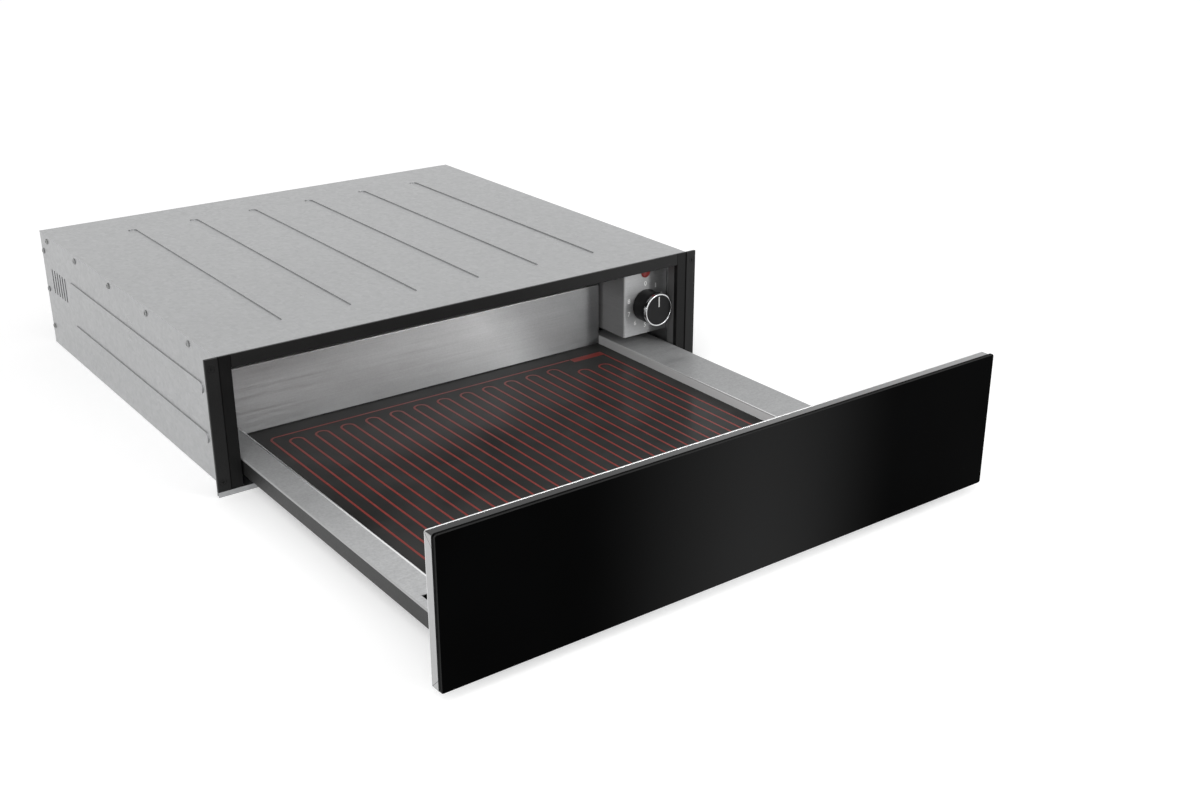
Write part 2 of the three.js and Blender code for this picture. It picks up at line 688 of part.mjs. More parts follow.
// The angle on the casing's floor that carries the cabinet member.
function runnerBracket(sign) {
  const half = BRACKET_SHEET / 2;
  const x = bracketOuter - half;
  const z = CASING_SHEET + half;
  const path = mirrored([[x + BRACKET_FOOT, z], [x, z], [x, runnerTop - BRACKET_DROP]], sign);
  return extruded("y", folded(path, BRACKET_SHEET, BRACKET_SHEET), RUNNER_START, runnerEnd);
}

// The angle under the rail's top that hangs the drawer on the drawer member.
function drawerHanger(sign) {
  const half = HANGER_SHEET / 2;
  const x = runnerOuter - runnerFace - half;
  const z = railUnder - half;
  const path = mirrored([[x, railUnder - HANGER_DROP], [x, z], [x - HANGER_FLANGE, z]], sign);
  return extruded("y", folded(path, HANGER_SHEET, HANGER_SHEET), RUNNER_START, runnerEnd);
}

function addRunners() {
  for (const [name, sign] of SIDES) {
    add(casing, `runner_bracket_${name}`, runnerBracket(sign), GALVANISED);
    add(casing, `runner_cabinet_member_${name}`, cabinetMember(sign), RUNNER_STEEL);
    add(middles, `runner_middle_member_${name}`, middleMember(sign), RUNNER_STEEL);
    add(drawer, `runner_drawer_member_${name}`, drawerMember(sign), RUNNER_STEEL);
    add(drawer, `drawer_hanger_${name}`, drawerHanger(sign), GALVANISED);
  }
}

// ---------------------------------------------------------------- front panel

// The glass: a plate with small round corners and ground edges.
function frontGlass() {
  const side = FRONT_WIDTH / 2 - GLASS_ARRIS;
  const outline = roundedRectangle(
    THREE.Shape, -side, FRONT_BOTTOM + GLASS_ARRIS, side, frontTop - GLASS_ARRIS,
    GLASS_CORNER - GLASS_ARRIS,
  );
  const plate = new THREE.ExtrudeGeometry(outline, {
    depth: GLASS_THICKNESS - 2 * GLASS_ARRIS,
    bevelThickness: GLASS_ARRIS,
    bevelSize: GLASS_ARRIS,
    bevelSegments: 1,
    curveSegments: 5,
  });
  plate.applyMatrix4(new THREE.Matrix4().makeBasis(X_AXIS, Z_AXIS, Y_AXIS.clone().negate()));
  return plate.translate(0, glassBack - GLASS_ARRIS, 0);
}

// The bead that holds the glass on its frame.
function glassBond() {
  const side = FRONT_WIDTH / 2 - BOND_INSET;
  const low = FRONT_BOTTOM + BOND_INSET;
  const high = frameTop - BOND_INSET;
  const wide = BOND_WIDTH;
  const outline = roundedRectangle(THREE.Shape, -side, low, side, high, BOND_CORNER);
  const hole = roundedRectangle(
    THREE.Path, -side + wide, low + wide, side - wide, high - wide, BOND_CORNER,
  );
  return extruded("y", outline, glassBack, frameFront, [hole]);
}

// The silver frame: a tray with a window, its sides turned back and in again.
function frontFrame() {
  const side = FRONT_WIDTH / 2;
  const tray = extruded(
    "y", roundedRectangle(THREE.Shape, -side, FRONT_BOTTOM, side, frameTop, FRAME_BEND), frameFront,
    frameRear,
  );
  const wall = FRAME_SHEET;
  const inside = block(
    [-side + wall, frameFront + wall, FRONT_BOTTOM + wall],
    [side - wall, frameRear - wall, frameTop - wall],
  );
  const through = (from, to) => {
    const reach = FRAME_FLANGE;
    return block([-side + reach, from, FRONT_BOTTOM + reach], [side - reach, to, frameTop - reach]);
  };
  const window = through(frameFront - BEYOND, frameFront + 2 * wall);
  const back = through(frameRear - 2 * wall, frameRear + BEYOND);
  return cut(tray, joined(inside, window, back));
}

// The panel that closes the frame towards the food.
function innerPanel() {
  const side = FRONT_WIDTH / 2 - INNER_PANEL_INSET;
  const low = FRONT_BOTTOM + INNER_PANEL_INSET / 2;
  const high = frameTop - INNER_PANEL_INSET;
  const outline = roundedRectangle(THREE.Shape, -side, low, side, high, INNER_PANEL_CORNER);
  return extruded("y", outline, frameRear, panelRear);
}

// A rubber buffer on the inner panel. It leaves the catch its travel before it meets the trim.
function buffer(sign, z) {
  const radius = BUFFER_DIAMETER / 2;
  const end = TRIM_STEP - PLUNGER_TRAVEL - RUN;
  const x = sign * (openingSide + radius + TRIM_WALL / 2);
  const profile = [[0, panelRear], [radius, panelRear], [radius, end - BUFFER_CHAMFER]];
  profile.push([radius - BUFFER_CHAMFER, end], [0, end]);
  return turned(profile, x, z, 20);
}

// The angle that joins a side rail to the front.
function frontBracket(sign) {
  const half = HANGER_SHEET / 2;
  const x = drawerSide - DRAWER_SHEET - half;
  const y = panelRear + half;
  const end = RUNNER_START - FRONT_BRACKET_GAP;
  const path = mirrored([[x - FRONT_BRACKET_LEAF, y], [x, y], [x, end]], sign);
  const outline = folded(path, HANGER_SHEET, HANGER_SHEET);
  return extruded("z", outline, SKIRT_BOTTOM, railUnder - DRAWER_SHEET);
}

function addFront() {
  add(drawer, "front_glass", frontGlass(), BLACK_GLASS);
  add(drawer, "glass_bond", glassBond(), BLACK_RUBBER);
  add(drawer, "front_frame", frontFrame(), SILVER);
  add(drawer, "front_inner_panel", innerPanel(), BRUSHED_STEEL);
  for (const [name, sign] of SIDES) {
    add(drawer, `front_bracket_${name}`, frontBracket(sign), GALVANISED);
    add(drawer, `buffer_${name}_lower`, buffer(sign, screwHeights[0] + 2 * BUFFER_DIAMETER), BLACK_RUBBER);
    add(drawer, `buffer_${name}_upper`, buffer(sign, openingTop - BUFFER_DIAMETER), BLACK_RUBBER);
  }
}

// ---------------------------------------------------------------- drawer

// A side rail: outer skirt, wide top with its slot, and the inner wall.
function sideRail(sign, width) {
  const half = DRAWER_SHEET / 2;
  const outer = drawerSide - half;
  const inner = drawerSide - width + half;
  const z = RAIL_TOP - half;
  const path = [[outer, SKIRT_BOTTOM], [outer, z], [inner, z], [inner, railBottom]];
  const outline = folded(mirrored(path, sign), DRAWER_SHEET, DRAWER_SHEET);
  const rail = extruded("y", outline, panelRear, wallFront + RAIL_TAIL);
  const slotOuter = drawerSide - RAIL_SLOT_FROM_SIDE;
  const xs = [sign * (slotOuter - RAIL_SLOT[0]), sign * slotOuter].sort((a, b) => a - b);
  const slotFront = frameRear + RAIL_SLOT_FROM_FRAME;
  return cut(rail, block(
    [xs[0], slotFront, railUnder - BEYOND],
    [xs[1], slotFront + RAIL_SLOT[1], RAIL_TOP + BEYOND],
  ));
}

// The angle on a rail's inner wall that carries a side of the glass floor.
function floorLedge(sign, width) {
  const half = DRAWER_SHEET / 2;
  const x = drawerSide - width - half;
  const z = floorBottom - half;
  const path = mirrored([[x, railBottom], [x, z], [x + half - LEDGE_WIDTH, z]], sign);
  const outline = folded(path, DRAWER_SHEET, DRAWER_SHEET);
  return extruded("y", outline, panelRear, wallFront - WALL_FLANGE - FIT);
}

// The tall back wall: a foot under the glass floor, a top edge turned back and down, and turned ends.
// On the left it runs over the rail.
function backWall() {
  const half = DRAWER_SHEET / 2;
  const y = wallFront + half;
  const z = WALL_TOP - half;
  const foot = ledgeBottom + half;
  const rear = y + WALL_FLANGE;
  const path = [[y - WALL_FLANGE, foot], [y, foot], [y, z], [rear, z], [rear, z - WALL_FLANGE / 2]];
  const left = -drawerSide;
  const right = rightInner - FIT;
  const sheet = extruded("x", folded(path, DRAWER_SHEET, DRAWER_SHEET), left, right);
  const edge = rear - DRAWER_SHEET;
  const [along, up] = WALL_FOOT_CORNER;
  const turnedEnd = [[y, RAIL_TOP], [y, z], [edge, z], [edge, RAIL_TOP + up], [edge - along, RAIL_TOP]];
  const endShape = turnedEnd.map(([v, w]) => new THREE.Vector2(v, w));
  const ends = [left, right - DRAWER_SHEET].map((x) => extruded("x", endShape, x, x + DRAWER_SHEET));
  const corner = block(
    [left - BEYOND, wallFront - WALL_FLANGE - BEYOND, 0],
    [leftInner + FIT, rear + BEYOND, RAIL_TOP],
  );
  return cut(joined(sheet, ...ends), corner);
}

// The angle behind the front that carries the front edge of the glass floor.
function crossRail() {
  const half = DRAWER_SHEET / 2;
  const y = panelRear + half;
  const z = ledgeBottom + half;
  const path = [[y, z - CROSS_RAIL_DROP], [y, z], [y + LEDGE_WIDTH, z]];
  const left = leftInner + LEDGE_WIDTH + FIT;
  const right = rightInner - LEDGE_WIDTH - FIT;
  return extruded("x", folded(path, DRAWER_SHEET, DRAWER_SHEET), left, right);
}

function glassFloor() {
  const outline = roundedRectangle(
    THREE.Shape, leftInner + FLOOR_GAP, panelRear + FLOOR_GAP, rightInner - FLOOR_GAP,
    wallFront - FLOOR_GAP, GLASS_CORNER,
  );
  return extruded("z", outline, floorBottom, FLOOR_TOP);
}

// The mid-line's corners of the heating ribbon, from the right-hand pad round to the left-hand one.
function ribbonLine() {
  const leg = LOOP_PITCH / 4;
  const last = LOOPS_MIDDLE + ((LOOPS - 1) * LOOP_PITCH) / 2;
  const first = LOOPS_MIDDLE - ((LOOPS - 1) * LOOP_PITCH) / 2;
  const front = frameRear + FRONT_TURN;
  const rear = wallFront - REAR_LINE;
  const line = [[last + leg + EDGE_LINE_SPACING, rear - PAD_WIDTH / 2]];
  line.push([last + leg + EDGE_LINE_SPACING, front]);
  for (let i = 0; i < LOOPS; i++) {
    const x = last - i * LOOP_PITCH;
    const end = wallFront - (i < SHORT_LOOPS ? SHORT_LOOP_END : LOOP_END);
    line.push([x + leg, front], [x + leg, end], [x - leg, end], [x - leg, front]);
  }
  line.push([first - leg - EDGE_LINE_SPACING, front], [first - leg - EDGE_LINE_SPACING, rear]);
  line.push([last + leg + EDGE_LINE_SPACING - PAD_LENGTH - PAD_GAP - PAD_LENGTH / 2, rear]);
  return line;
}

// The heating element: one unbroken ribbon of LOOPS loops with a terminal pad at each end.
function heatingElement() {
  const line = ribbonLine();
  const outline = folded(line, RIBBON_WIDTH, (LOOP_PITCH / 4) * STRAIGHT_SHARE);
  const ribbon = extruded("z", outline, bottomOfRibbon, floorBottom);
  const right = line[0][0] + RIBBON_WIDTH / 2;
  const rear = wallFront - REAR_LINE + RIBBON_WIDTH / 2;
  const pads = [0, PAD_LENGTH + PAD_GAP].map((shift) => block(
    [right - shift - PAD_LENGTH, rear - PAD_WIDTH, bottomOfRibbon],
    [right - shift, rear, floorBottom],
  ));
  return joined(ribbon, ...pads);
}

// The tray under the drawer that holds the insulation against the glass floor.
const panLeft = leftInner + LEDGE_WIDTH + PAN_SHEET;
const panRight = rightInner - LEDGE_WIDTH - PAN_SHEET;
const panRear = wallFront - FLOOR_GAP;
const panFront = panelRear + DRAWER_SHEET + FIT;

function heaterPan() {
  const half = PAN_SHEET / 2;
  const flange = ledgeBottom - half;
  const floor = PAN_BOTTOM + half;
  const path = [
    [panLeft - PAN_FLANGE, flange], [panLeft, flange], [panLeft, floor],
    [panRight, floor], [panRight, flange], [panRight + PAN_FLANGE, flange],
  ];
  return extruded("y", folded(path, PAN_SHEET, PAN_SHEET), panFront, panRear);
}

// The insulation, with a pocket for the temperature limiter.
const limiterX = LOOPS_MIDDLE;
const limiterY = (panFront + panRear) / 2;

function insulationPad() {
  const side = PAN_SHEET + FIT;
  const bottom = PAN_BOTTOM + PAN_SHEET;
  const pad = block(
    [panLeft + side, panFront + LEDGE_WIDTH, bottom],
    [panRight - side, panRear - LEDGE_WIDTH, bottomOfRibbon - FIT],
  );
  const radius = LIMITER_DIAMETER / 2 + FIT;
  const pocket = new THREE.CylinderGeometry(radius, radius, 2 * FLOOR_TOP, 24);
  pocket.rotateX(Math.PI / 2).translate(limiterX, limiterY, bottom);
  return cut(pad, pocket);
}

// A disc limiter standing on the pan in its pocket.
function temperatureLimiter() {
  const radius = LIMITER_DIAMETER / 2;
  const low = PAN_BOTTOM + PAN_SHEET;
  const neck = radius - LIMITER_STEP[0];
  const profile = [[0, 0], [radius, 0], [radius, LIMITER_BASE], [neck, LIMITER_BASE]];
  profile.push([neck - LIMITER_STEP[1], LIMITER_HEIGHT], [0, LIMITER_HEIGHT]);
  const points = profile.map(([r, z]) => new THREE.Vector2(r, z));
  const disc = new THREE.LatheGeometry(points, 24).rotateX(Math.PI / 2);
  return disc.translate(limiterX, limiterY, low);
}

// The block behind the back wall where the heating element's leads end.
const heaterTerminalX = rightInner - HEATER_TERMINAL_INSET;

function heaterTerminal() {
  const [wide, high] = TERMINAL_SIZE;
  const front = wallRear + HEATER_TERMINAL_DEPTH;
  const body = block(
    [heaterTerminalX - wide / 2, wallRear, RAIL_TOP],
    [heaterTerminalX + wide / 2, front, RAIL_TOP + high],
  );
  const [bore, deep] = HEATER_TERMINAL_WELL;
  const wells = [-1, 0, 1].map((i) => {
    const x = heaterTerminalX + i * TERMINAL_WELL_PITCH;
    return pin(bore, x, RAIL_TOP + high / 2, front - deep, front + BEYOND, 16);
  });
  return cut(body, ...wells);
}

// The clamp that holds the drawer's flexible lead.
function leadClamp() {
  const [wide, deep, high] = CLAMP_SIZE;
  const x = heaterTerminalX - CLAMP_DISTANCE;
  const z = RAIL_TOP + TERMINAL_SIZE[1] / 2;
  const body = block(
    [x - wide / 2, wallRear, z - high / 2],
    [x + wide / 2, wallRear + deep, z + high / 2],
  );
  const bore = new THREE.CylinderGeometry(CLAMP_BORE / 2, CLAMP_BORE / 2, 2 * high, 20);
  return cut(body, bore.rotateX(Math.PI / 2).translate(x, wallRear + deep / 2, z));
}

function addDrawer() {
  add(drawer, "side_rail_left", sideRail(-1, LEFT_RAIL_WIDTH), BRUSHED_STEEL);
  add(drawer, "side_rail_right", sideRail(1, RIGHT_RAIL_WIDTH), BRUSHED_STEEL);
  add(drawer, "floor_ledge_left", floorLedge(-1, LEFT_RAIL_WIDTH), BRUSHED_STEEL);
  add(drawer, "floor_ledge_right", floorLedge(1, RIGHT_RAIL_WIDTH), BRUSHED_STEEL);
  add(drawer, "back_wall", backWall(), BRUSHED_STEEL);
  add(drawer, "front_cross_rail", crossRail(), BRUSHED_STEEL);
  add(drawer, "glass_floor", glassFloor(), FLOOR_GLASS);
  add(drawer, "heating_element", heatingElement(), RED_FOIL);
  add(drawer, "heater_pan", heaterPan(), GALVANISED);
  add(drawer, "insulation_pad", insulationPad(), MINERAL_WOOL);
  add(drawer, "temperature_limiter", temperatureLimiter(), BLACK_PLASTIC);
  add(drawer, "heater_terminal", heaterTerminal(), CERAMIC);
  add(drawer, "lead_clamp", leadClamp(), WHITE_PLASTIC);
}

// ---------------------------------------------------------------- push catch

const catchBoreEnd = rearInner - CATCH_BACK;

// The body on the rear panel, bored for the plunger.
function catchBody() {
  const half = CATCH_WIDTH / 2;
  const low = CATCH_MIDDLE - CATCH_HEIGHT / 2;
  const outline = roundedRectangle(THREE.Shape, -half, low, half, low + CATCH_HEIGHT, CATCH_CORNER);
  const bore = pin(PLUNGER_DIAMETER + 2 * RUN, 0, CATCH_MIDDLE, catchFront - BEYOND, catchBoreEnd);
  return cut(extruded("y", outline, catchFront, rearInner), bore);
}

function catchPlunger() {
  const head = PLUNGER_HEAD / 2;
  const stem = PLUNGER_DIAMETER / 2;
  const end = catchBoreEnd - PLUNGER_TRAVEL - RUN;
  const [across, along] = PLUNGER_CHAMFER;
  const profile = [[0, plungerTip], [head - across, plungerTip], [head, plungerTip + along]];
  profile.push([head, headRear], [stem, headRear], [stem, end], [0, end]);
  return turned(profile, 0, CATCH_MIDDLE, 24);
}

// The bent bracket behind the drawer's back wall that meets the plunger.
function catchStriker() {
  const half = STRIKER_SHEET / 2;
  const low = CATCH_MIDDLE - STRIKER_HEIGHT / 2;
  const high = CATCH_MIDDLE + STRIKER_HEIGHT / 2;
  const near = wallRear + half;
  const far = strikerFace - half;
  const path = [
    [near, low - STRIKER_FOOT], [near, low], [far, low], [far, high], [near, high],
    [near, high + STRIKER_FOOT],
  ];
  const outline = folded(path, STRIKER_SHEET, STRIKER_SHEET);
  return extruded("x", outline, -STRIKER_WIDTH / 2, STRIKER_WIDTH / 2);
}

function addCatch() {
  add(casing, "catch_body", catchBody(), BLACK_PLASTIC);
  add(plunger, "catch_plunger", catchPlunger(), WHITE_PLASTIC);
  add(drawer, "catch_striker", catchStriker(), GALVANISED);
}

// ---------------------------------------------------------------- control unit

// The folded box that hangs from the right side's top flange, open towards that side.
function controlBox() {
  const path = roundedRectangle(
    THREE.Shape, boxLeft, BOX_FRONT, boxRight + BOX_BEND, BOX_FRONT + BOX_DEPTH, BOX_BEND,
  );
  const outside = extruded("z", path, BOX_BOTTOM, boxTop);
  const wall = BOX_SHEET;
  const inside = block(
    [boxLeft + wall, boxInside, BOX_BOTTOM + wall],
    [boxRight + 3 * BOX_BEND, BOX_FRONT + BOX_DEPTH - wall, boxTop - wall],
  );
  const beyond = block(
    [boxRight, BOX_FRONT - BEYOND, BOX_BOTTOM - BEYOND],
    [boxRight + 4 * BOX_BEND, BOX_FRONT + BOX_DEPTH + BEYOND, boxTop + BEYOND],
  );
  const front = BOX_FRONT - BEYOND;
  const back = boxInside + BEYOND;
  const shaftHole = pin(COLLAR_DIAMETER + 2 * FIT, boxMiddle, KNOB_HEIGHT, front, back);
  const lensHole = pin(LAMP_DIAMETER + 2 * FIT, boxMiddle, LENS_HEIGHT, front, back);
  return cut(outside, inside, beyond, shaftHole, lensHole);
}

// The regulator behind the box's front: its body, the collar in the front's hole and two tabs.
function thermostatBody() {
  const [wide, deep, high] = THERMOSTAT_SIZE;
  const back = boxInside + deep;
  const body = block(
    [boxMiddle - wide / 2, boxInside, KNOB_HEIGHT - high / 2],
    [boxMiddle + wide / 2, back, KNOB_HEIGHT + high / 2],
  );
  const collar = pin(COLLAR_DIAMETER, boxMiddle, KNOB_HEIGHT, BOX_FRONT, boxInside + BEYOND);
  const [tabWide, tabLong, tabThick] = TAB_SIZE;
  const tabs = [-1, 1].map((side) => {
    const x = boxMiddle + (side * TAB_SPACING) / 2;
    const z = KNOB_HEIGHT + TAB_HEIGHT;
    return block([x - tabWide / 2, back - BEYOND, z], [x + tabWide / 2, back + tabLong, z + tabThick]);
  });
  const boreEnd = boxInside + THERMOSTAT_BORE;
  const bore = pin(SHAFT_DIAMETER + 2 * RUN, boxMiddle, KNOB_HEIGHT, BOX_FRONT - BEYOND, boreEnd);
  return cut(joined(body, collar, ...tabs), bore);
}

// The places of the knob along Y.
const knobBack = BOX_FRONT - KNOB_GAP;
const knobFace = knobBack - KNOB_LENGTH;
const knobBore = knobBack - KNOB_LENGTH / 2;

// A knob with a slightly tapered skirt, a dished face and a bore for the shaft.
function knobBody() {
  const radius = KNOB_DIAMETER / 2;
  const back = radius - KNOB_TAPER;
  const ring = radius - RING_WIDTH;
  const step = knobFace + RING_LENGTH;
  const bore = SHAFT_DIAMETER / 2 + PRESS;
  const [edge, rim, middle] = KNOB_DISH;
  const profile = [
    [0, knobFace + middle], [ring - edge, knobFace + rim], [ring, knobFace + rim], [ring, step],
    [radius - PRESS, step], [back, knobBack - KNOB_TAPER], [back - KNOB_TAPER, knobBack],
    [bore, knobBack], [bore, knobBore], [0, knobBore],
  ];
  return turned(profile, boxMiddle, KNOB_HEIGHT, 48);
}

// The bright ring round the knob's front edge.
function knobRing() {
  const outer = KNOB_DIAMETER / 2;
  const inner = outer - RING_WIDTH + PRESS / 2;
  const end = knobFace + RING_LENGTH - PRESS / 2;
  const round = RING_WIDTH / 3;
  const profile = [
    [inner, end], [inner, knobFace + round / 2], [inner + round, knobFace], [outer - round, knobFace],
    [outer, knobFace + round], [outer, end], [inner, end],
  ];
  return turned(profile, boxMiddle, KNOB_HEIGHT, 48);
}

// The white line on the knob's face.
function knobPointer() {
  const high = KNOB_HEIGHT + KNOB_DIAMETER / 2 - RING_WIDTH - POINTER_FROM_RING;
  const half = POINTER_WIDTH / 2;
  const front = knobFace + PRESS;
  return block(
    [boxMiddle - half, front, high - POINTER_LENGTH],
    [boxMiddle + half, front + POINTER_THICKNESS, high],
  );
}

// The D-shaped shaft from the knob into the regulator.
function thermostatShaft() {
  const end = boxInside + THERMOSTAT_BORE - RUN;
  const rod = pin(SHAFT_DIAMETER, boxMiddle, KNOB_HEIGHT, knobBore + PRESS, end);
  const flat = SHAFT_DIAMETER / 2 - SHAFT_FLAT;
  const away = block(
    [boxMiddle - SHAFT_DIAMETER, knobBore - BEYOND, KNOB_HEIGHT + flat],
    [boxMiddle + SHAFT_DIAMETER, knobBack, KNOB_HEIGHT + SHAFT_DIAMETER],
  );
  return cut(rod, away);
}

// The domed lens of the indicator, with a stem in the box's hole.
function indicatorLens() {
  const radius = LENS_DIAMETER / 2;
  const stem = LAMP_DIAMETER / 2;
  const end = boxInside + LENS_STEM;
  const dome = [0, 1, 2, 3, 4, 5].map((i) => {
    const angle = (i * Math.PI) / 10;
    return [radius * Math.sin(angle), BOX_FRONT - LENS_DOME * Math.cos(angle)];
  });
  const profile = [...dome, [stem, BOX_FRONT], [stem, end], [0, end]];
  return turned(profile, boxMiddle, LENS_HEIGHT, 32);
}

// The lamp holder behind the lens, with its two tabs.
function indicatorLamp() {
  const radius = LAMP_DIAMETER / 2 + LAMP_WALL;
  const start = boxInside + FIT;
  const end = start + LAMP_LENGTH;
  const hollow = LAMP_DIAMETER / 2 + FIT;
  const seat = boxInside + LENS_STEM + FIT;
  const profile = [[0, seat], [hollow, seat], [hollow, start], [radius, start], [radius, end], [0, end]];
  const [wide, long, thick] = LAMP_TAB_SIZE;
  const tabs = [-1, 1].map((side) => {
    const x = boxMiddle + (side * LAMP_TAB_SPACING) / 2;
    return block(
      [x - wide / 2, end - BEYOND, LENS_HEIGHT - thick / 2],
      [x + wide / 2, end + long, LENS_HEIGHT + thick / 2],
    );
  });
  return joined(turned(profile, boxMiddle, LENS_HEIGHT, 24), ...tabs);
}

// The entry for the supply lead in the rear panel.
function cableGland() {
  const outer = GLAND_DIAMETER / 2;
  const [over, thick] = GLAND_FLANGE;
  const stem = outer - over;
  const bore = GLAND_BORE / 2;
  const start = rearInner - GLAND_INSIDE;
  const end = rearFace + GLAND_OUTSIDE;
  const profile = [
    [bore, start], [stem, start], [stem, rearFace], [outer, rearFace], [outer, rearFace + thick],
    [bore + GLAND_LIP, end], [bore, end], [bore, start],
  ];
  return turned(profile, GLAND_X, GLAND_Z, 28);
}

// The terminal block for the supply lead, on the rear panel under the gland.
function mainsTerminal() {
  const [wide, high, deep] = TERMINAL_SIZE;
  const front = rearInner - deep;
  const low = GLAND_Z - GLAND_DIAMETER / 2 - TERMINAL_DROP - high;
  const body = block([GLAND_X - wide / 2, front, low], [GLAND_X + wide / 2, rearInner, low + high]);
  const [bore, depth] = TERMINAL_WELL;
  const wells = [-1, 0, 1].map((i) => {
    return pin(bore, GLAND_X + i * TERMINAL_WELL_PITCH, low + high / 2, front - BEYOND, front + depth, 16);
  });
  return cut(body, ...wells);
}

function addControls() {
  add(casing, "control_box", controlBox(), BRUSHED_STEEL);
  add(casing, "thermostat_body", thermostatBody(), BLACK_PLASTIC);
  add(casing, "indicator_lens", indicatorLens(), RED_LENS);
  add(casing, "indicator_lamp", indicatorLamp(), WHITE_PLASTIC);
  add(casing, "cable_gland", cableGland(), BLACK_PLASTIC);
  add(casing, "mains_terminal", mainsTerminal(), CERAMIC);
  add(knob, "thermostat_shaft", thermostatShaft(), RUNNER_STEEL);
  add(knob, "knob", knobBody(), BLACK_PLASTIC);
  add(knob, "knob_ring", knobRing(), CHROME);
  add(knob, "knob_pointer", knobPointer(), WHITE_PLASTIC);
}

// ---------------------------------------------------------------- the whole

addCasing();
addRunners();
addFront();
addDrawer();
addCatch();
addControls();

// At rest the drawer is out by its travel and the middle members by half of it.
drawer.position.y = -TRAVEL;
middles.position.y = -TRAVEL / 2;

const warmingDrawer = new THREE.Group();
warmingDrawer.add(casing, drawer, middles, knob, plunger);

// The origin lies under the middle of the opened unit, on the surface that it stands on.
warmingDrawer.position.y = -(glassFront - TRAVEL + casingDepth) / 2;

export default warmingDrawer;
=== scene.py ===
"""A built-in warming drawer: finishes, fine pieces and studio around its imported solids."""

from __future__ import annotations

import logging
import math
from dataclasses import dataclass, field
from enum import Enum
from functools import lru_cache, reduce
from typing import Any, Iterable, Sequence

import bmesh
import bpy
from mathutils import Matrix, Vector


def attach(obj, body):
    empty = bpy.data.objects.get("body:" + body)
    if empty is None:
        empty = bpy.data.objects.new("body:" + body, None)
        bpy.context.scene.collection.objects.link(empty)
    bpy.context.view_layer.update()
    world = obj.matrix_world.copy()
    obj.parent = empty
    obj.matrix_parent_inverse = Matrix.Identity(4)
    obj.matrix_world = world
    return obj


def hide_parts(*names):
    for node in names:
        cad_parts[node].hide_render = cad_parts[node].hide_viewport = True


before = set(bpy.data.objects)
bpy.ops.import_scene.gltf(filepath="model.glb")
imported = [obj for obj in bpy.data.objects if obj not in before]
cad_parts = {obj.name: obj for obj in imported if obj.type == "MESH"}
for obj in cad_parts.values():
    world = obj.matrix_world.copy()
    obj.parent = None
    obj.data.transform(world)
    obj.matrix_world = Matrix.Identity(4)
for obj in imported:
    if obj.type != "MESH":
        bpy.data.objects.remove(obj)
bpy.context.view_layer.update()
MM = 0.001
LOG = logging.getLogger("warming_drawer")

FLAT_ON = (0.6, 0.8)  # from here to here a face counts as turned towards an axis
CORNERS = ((1, 1, 0), (-1, 1, 90), (-1, -1, 180), (1, -1, 270))  # right and up, and its arc's start
ON_AXIS = 1e-6  # a radius below this, in millimetres, is none
WELD, DIGIT_WELD = 1e-7, 1e-8  # corners nearer than this, in metres, become one
GLASS_BEND, TURNED_BEND, LIP_BEND = 35, 40, 50  # edges bent by fewer degrees are shaded smooth

Pair = tuple[float, float]
Point = tuple[float, float, float]
Colour = tuple[float, float, float]


class Body(str, Enum):
    """The rigid bodies that a piece can ride on."""

    CASING = "casing"
    DRAWER = "drawer"
    KNOB = "control_knob"


class Grain(Enum):
    """The way a sheet was brushed or drawn, as the shares of a fine pattern along X, Y and Z."""

    ALONG_X = (0.012, 1.0, 1.0)
    ALONG_Y = (1.0, 0.012, 1.0)
    LEVEL = (0.012, 0.012, 1.0)


# ---------------------------------------------------------------- finishes


class NodeTree:
    """A node tree that is grown call by call."""

    def __init__(self, tree: bpy.types.NodeTree) -> None:
        """Takes a tree and empties it."""
        self.tree = tree
        tree.nodes.clear()

    def add(self, kind: str, inputs: dict[Any, Any] | None = None, **settings: Any) -> bpy.types.Node:
        """Adds a node.

        Args:
            kind: The node's class.
            inputs: A value or an output for each named or numbered input.
            settings: The node's own properties.

        Returns:
            The new node.
        """
        node = self.tree.nodes.new(kind)
        for key, value in settings.items():
            setattr(node, key, value)
        for key, value in (inputs or {}).items():
            if isinstance(value, bpy.types.NodeSocket):
                self.tree.links.new(value, node.inputs[key])
            else:
                node.inputs[key].default_value = value
        return node

    def maths(self, a: Any, b: Any, operation: str = "ADD") -> bpy.types.NodeSocket:
        """Two numbers added, or joined by another operation."""
        return self.add("ShaderNodeMath", {0: a, 1: b}, operation=operation).outputs[0]

    def blended(self, *patterns: tuple[bpy.types.NodeSocket, float]) -> bpy.types.NodeSocket:
        """Patterns added up, each by its weight."""
        return reduce(self.maths, [self.maths(pattern, weight, "MULTIPLY") for pattern, weight in patterns])

    def vector(self, x: Any, y: Any, z: Any) -> bpy.types.NodeSocket:
        """Three numbers as one vector."""
        return self.add("ShaderNodeCombineXYZ", {0: x, 1: y, 2: z}).outputs[0]

    def parts(self, vector: bpy.types.NodeSocket) -> bpy.types.bpy_prop_collection:
        """A vector's X, Y and Z."""
        return self.add("ShaderNodeSeparateXYZ", {0: vector}).outputs


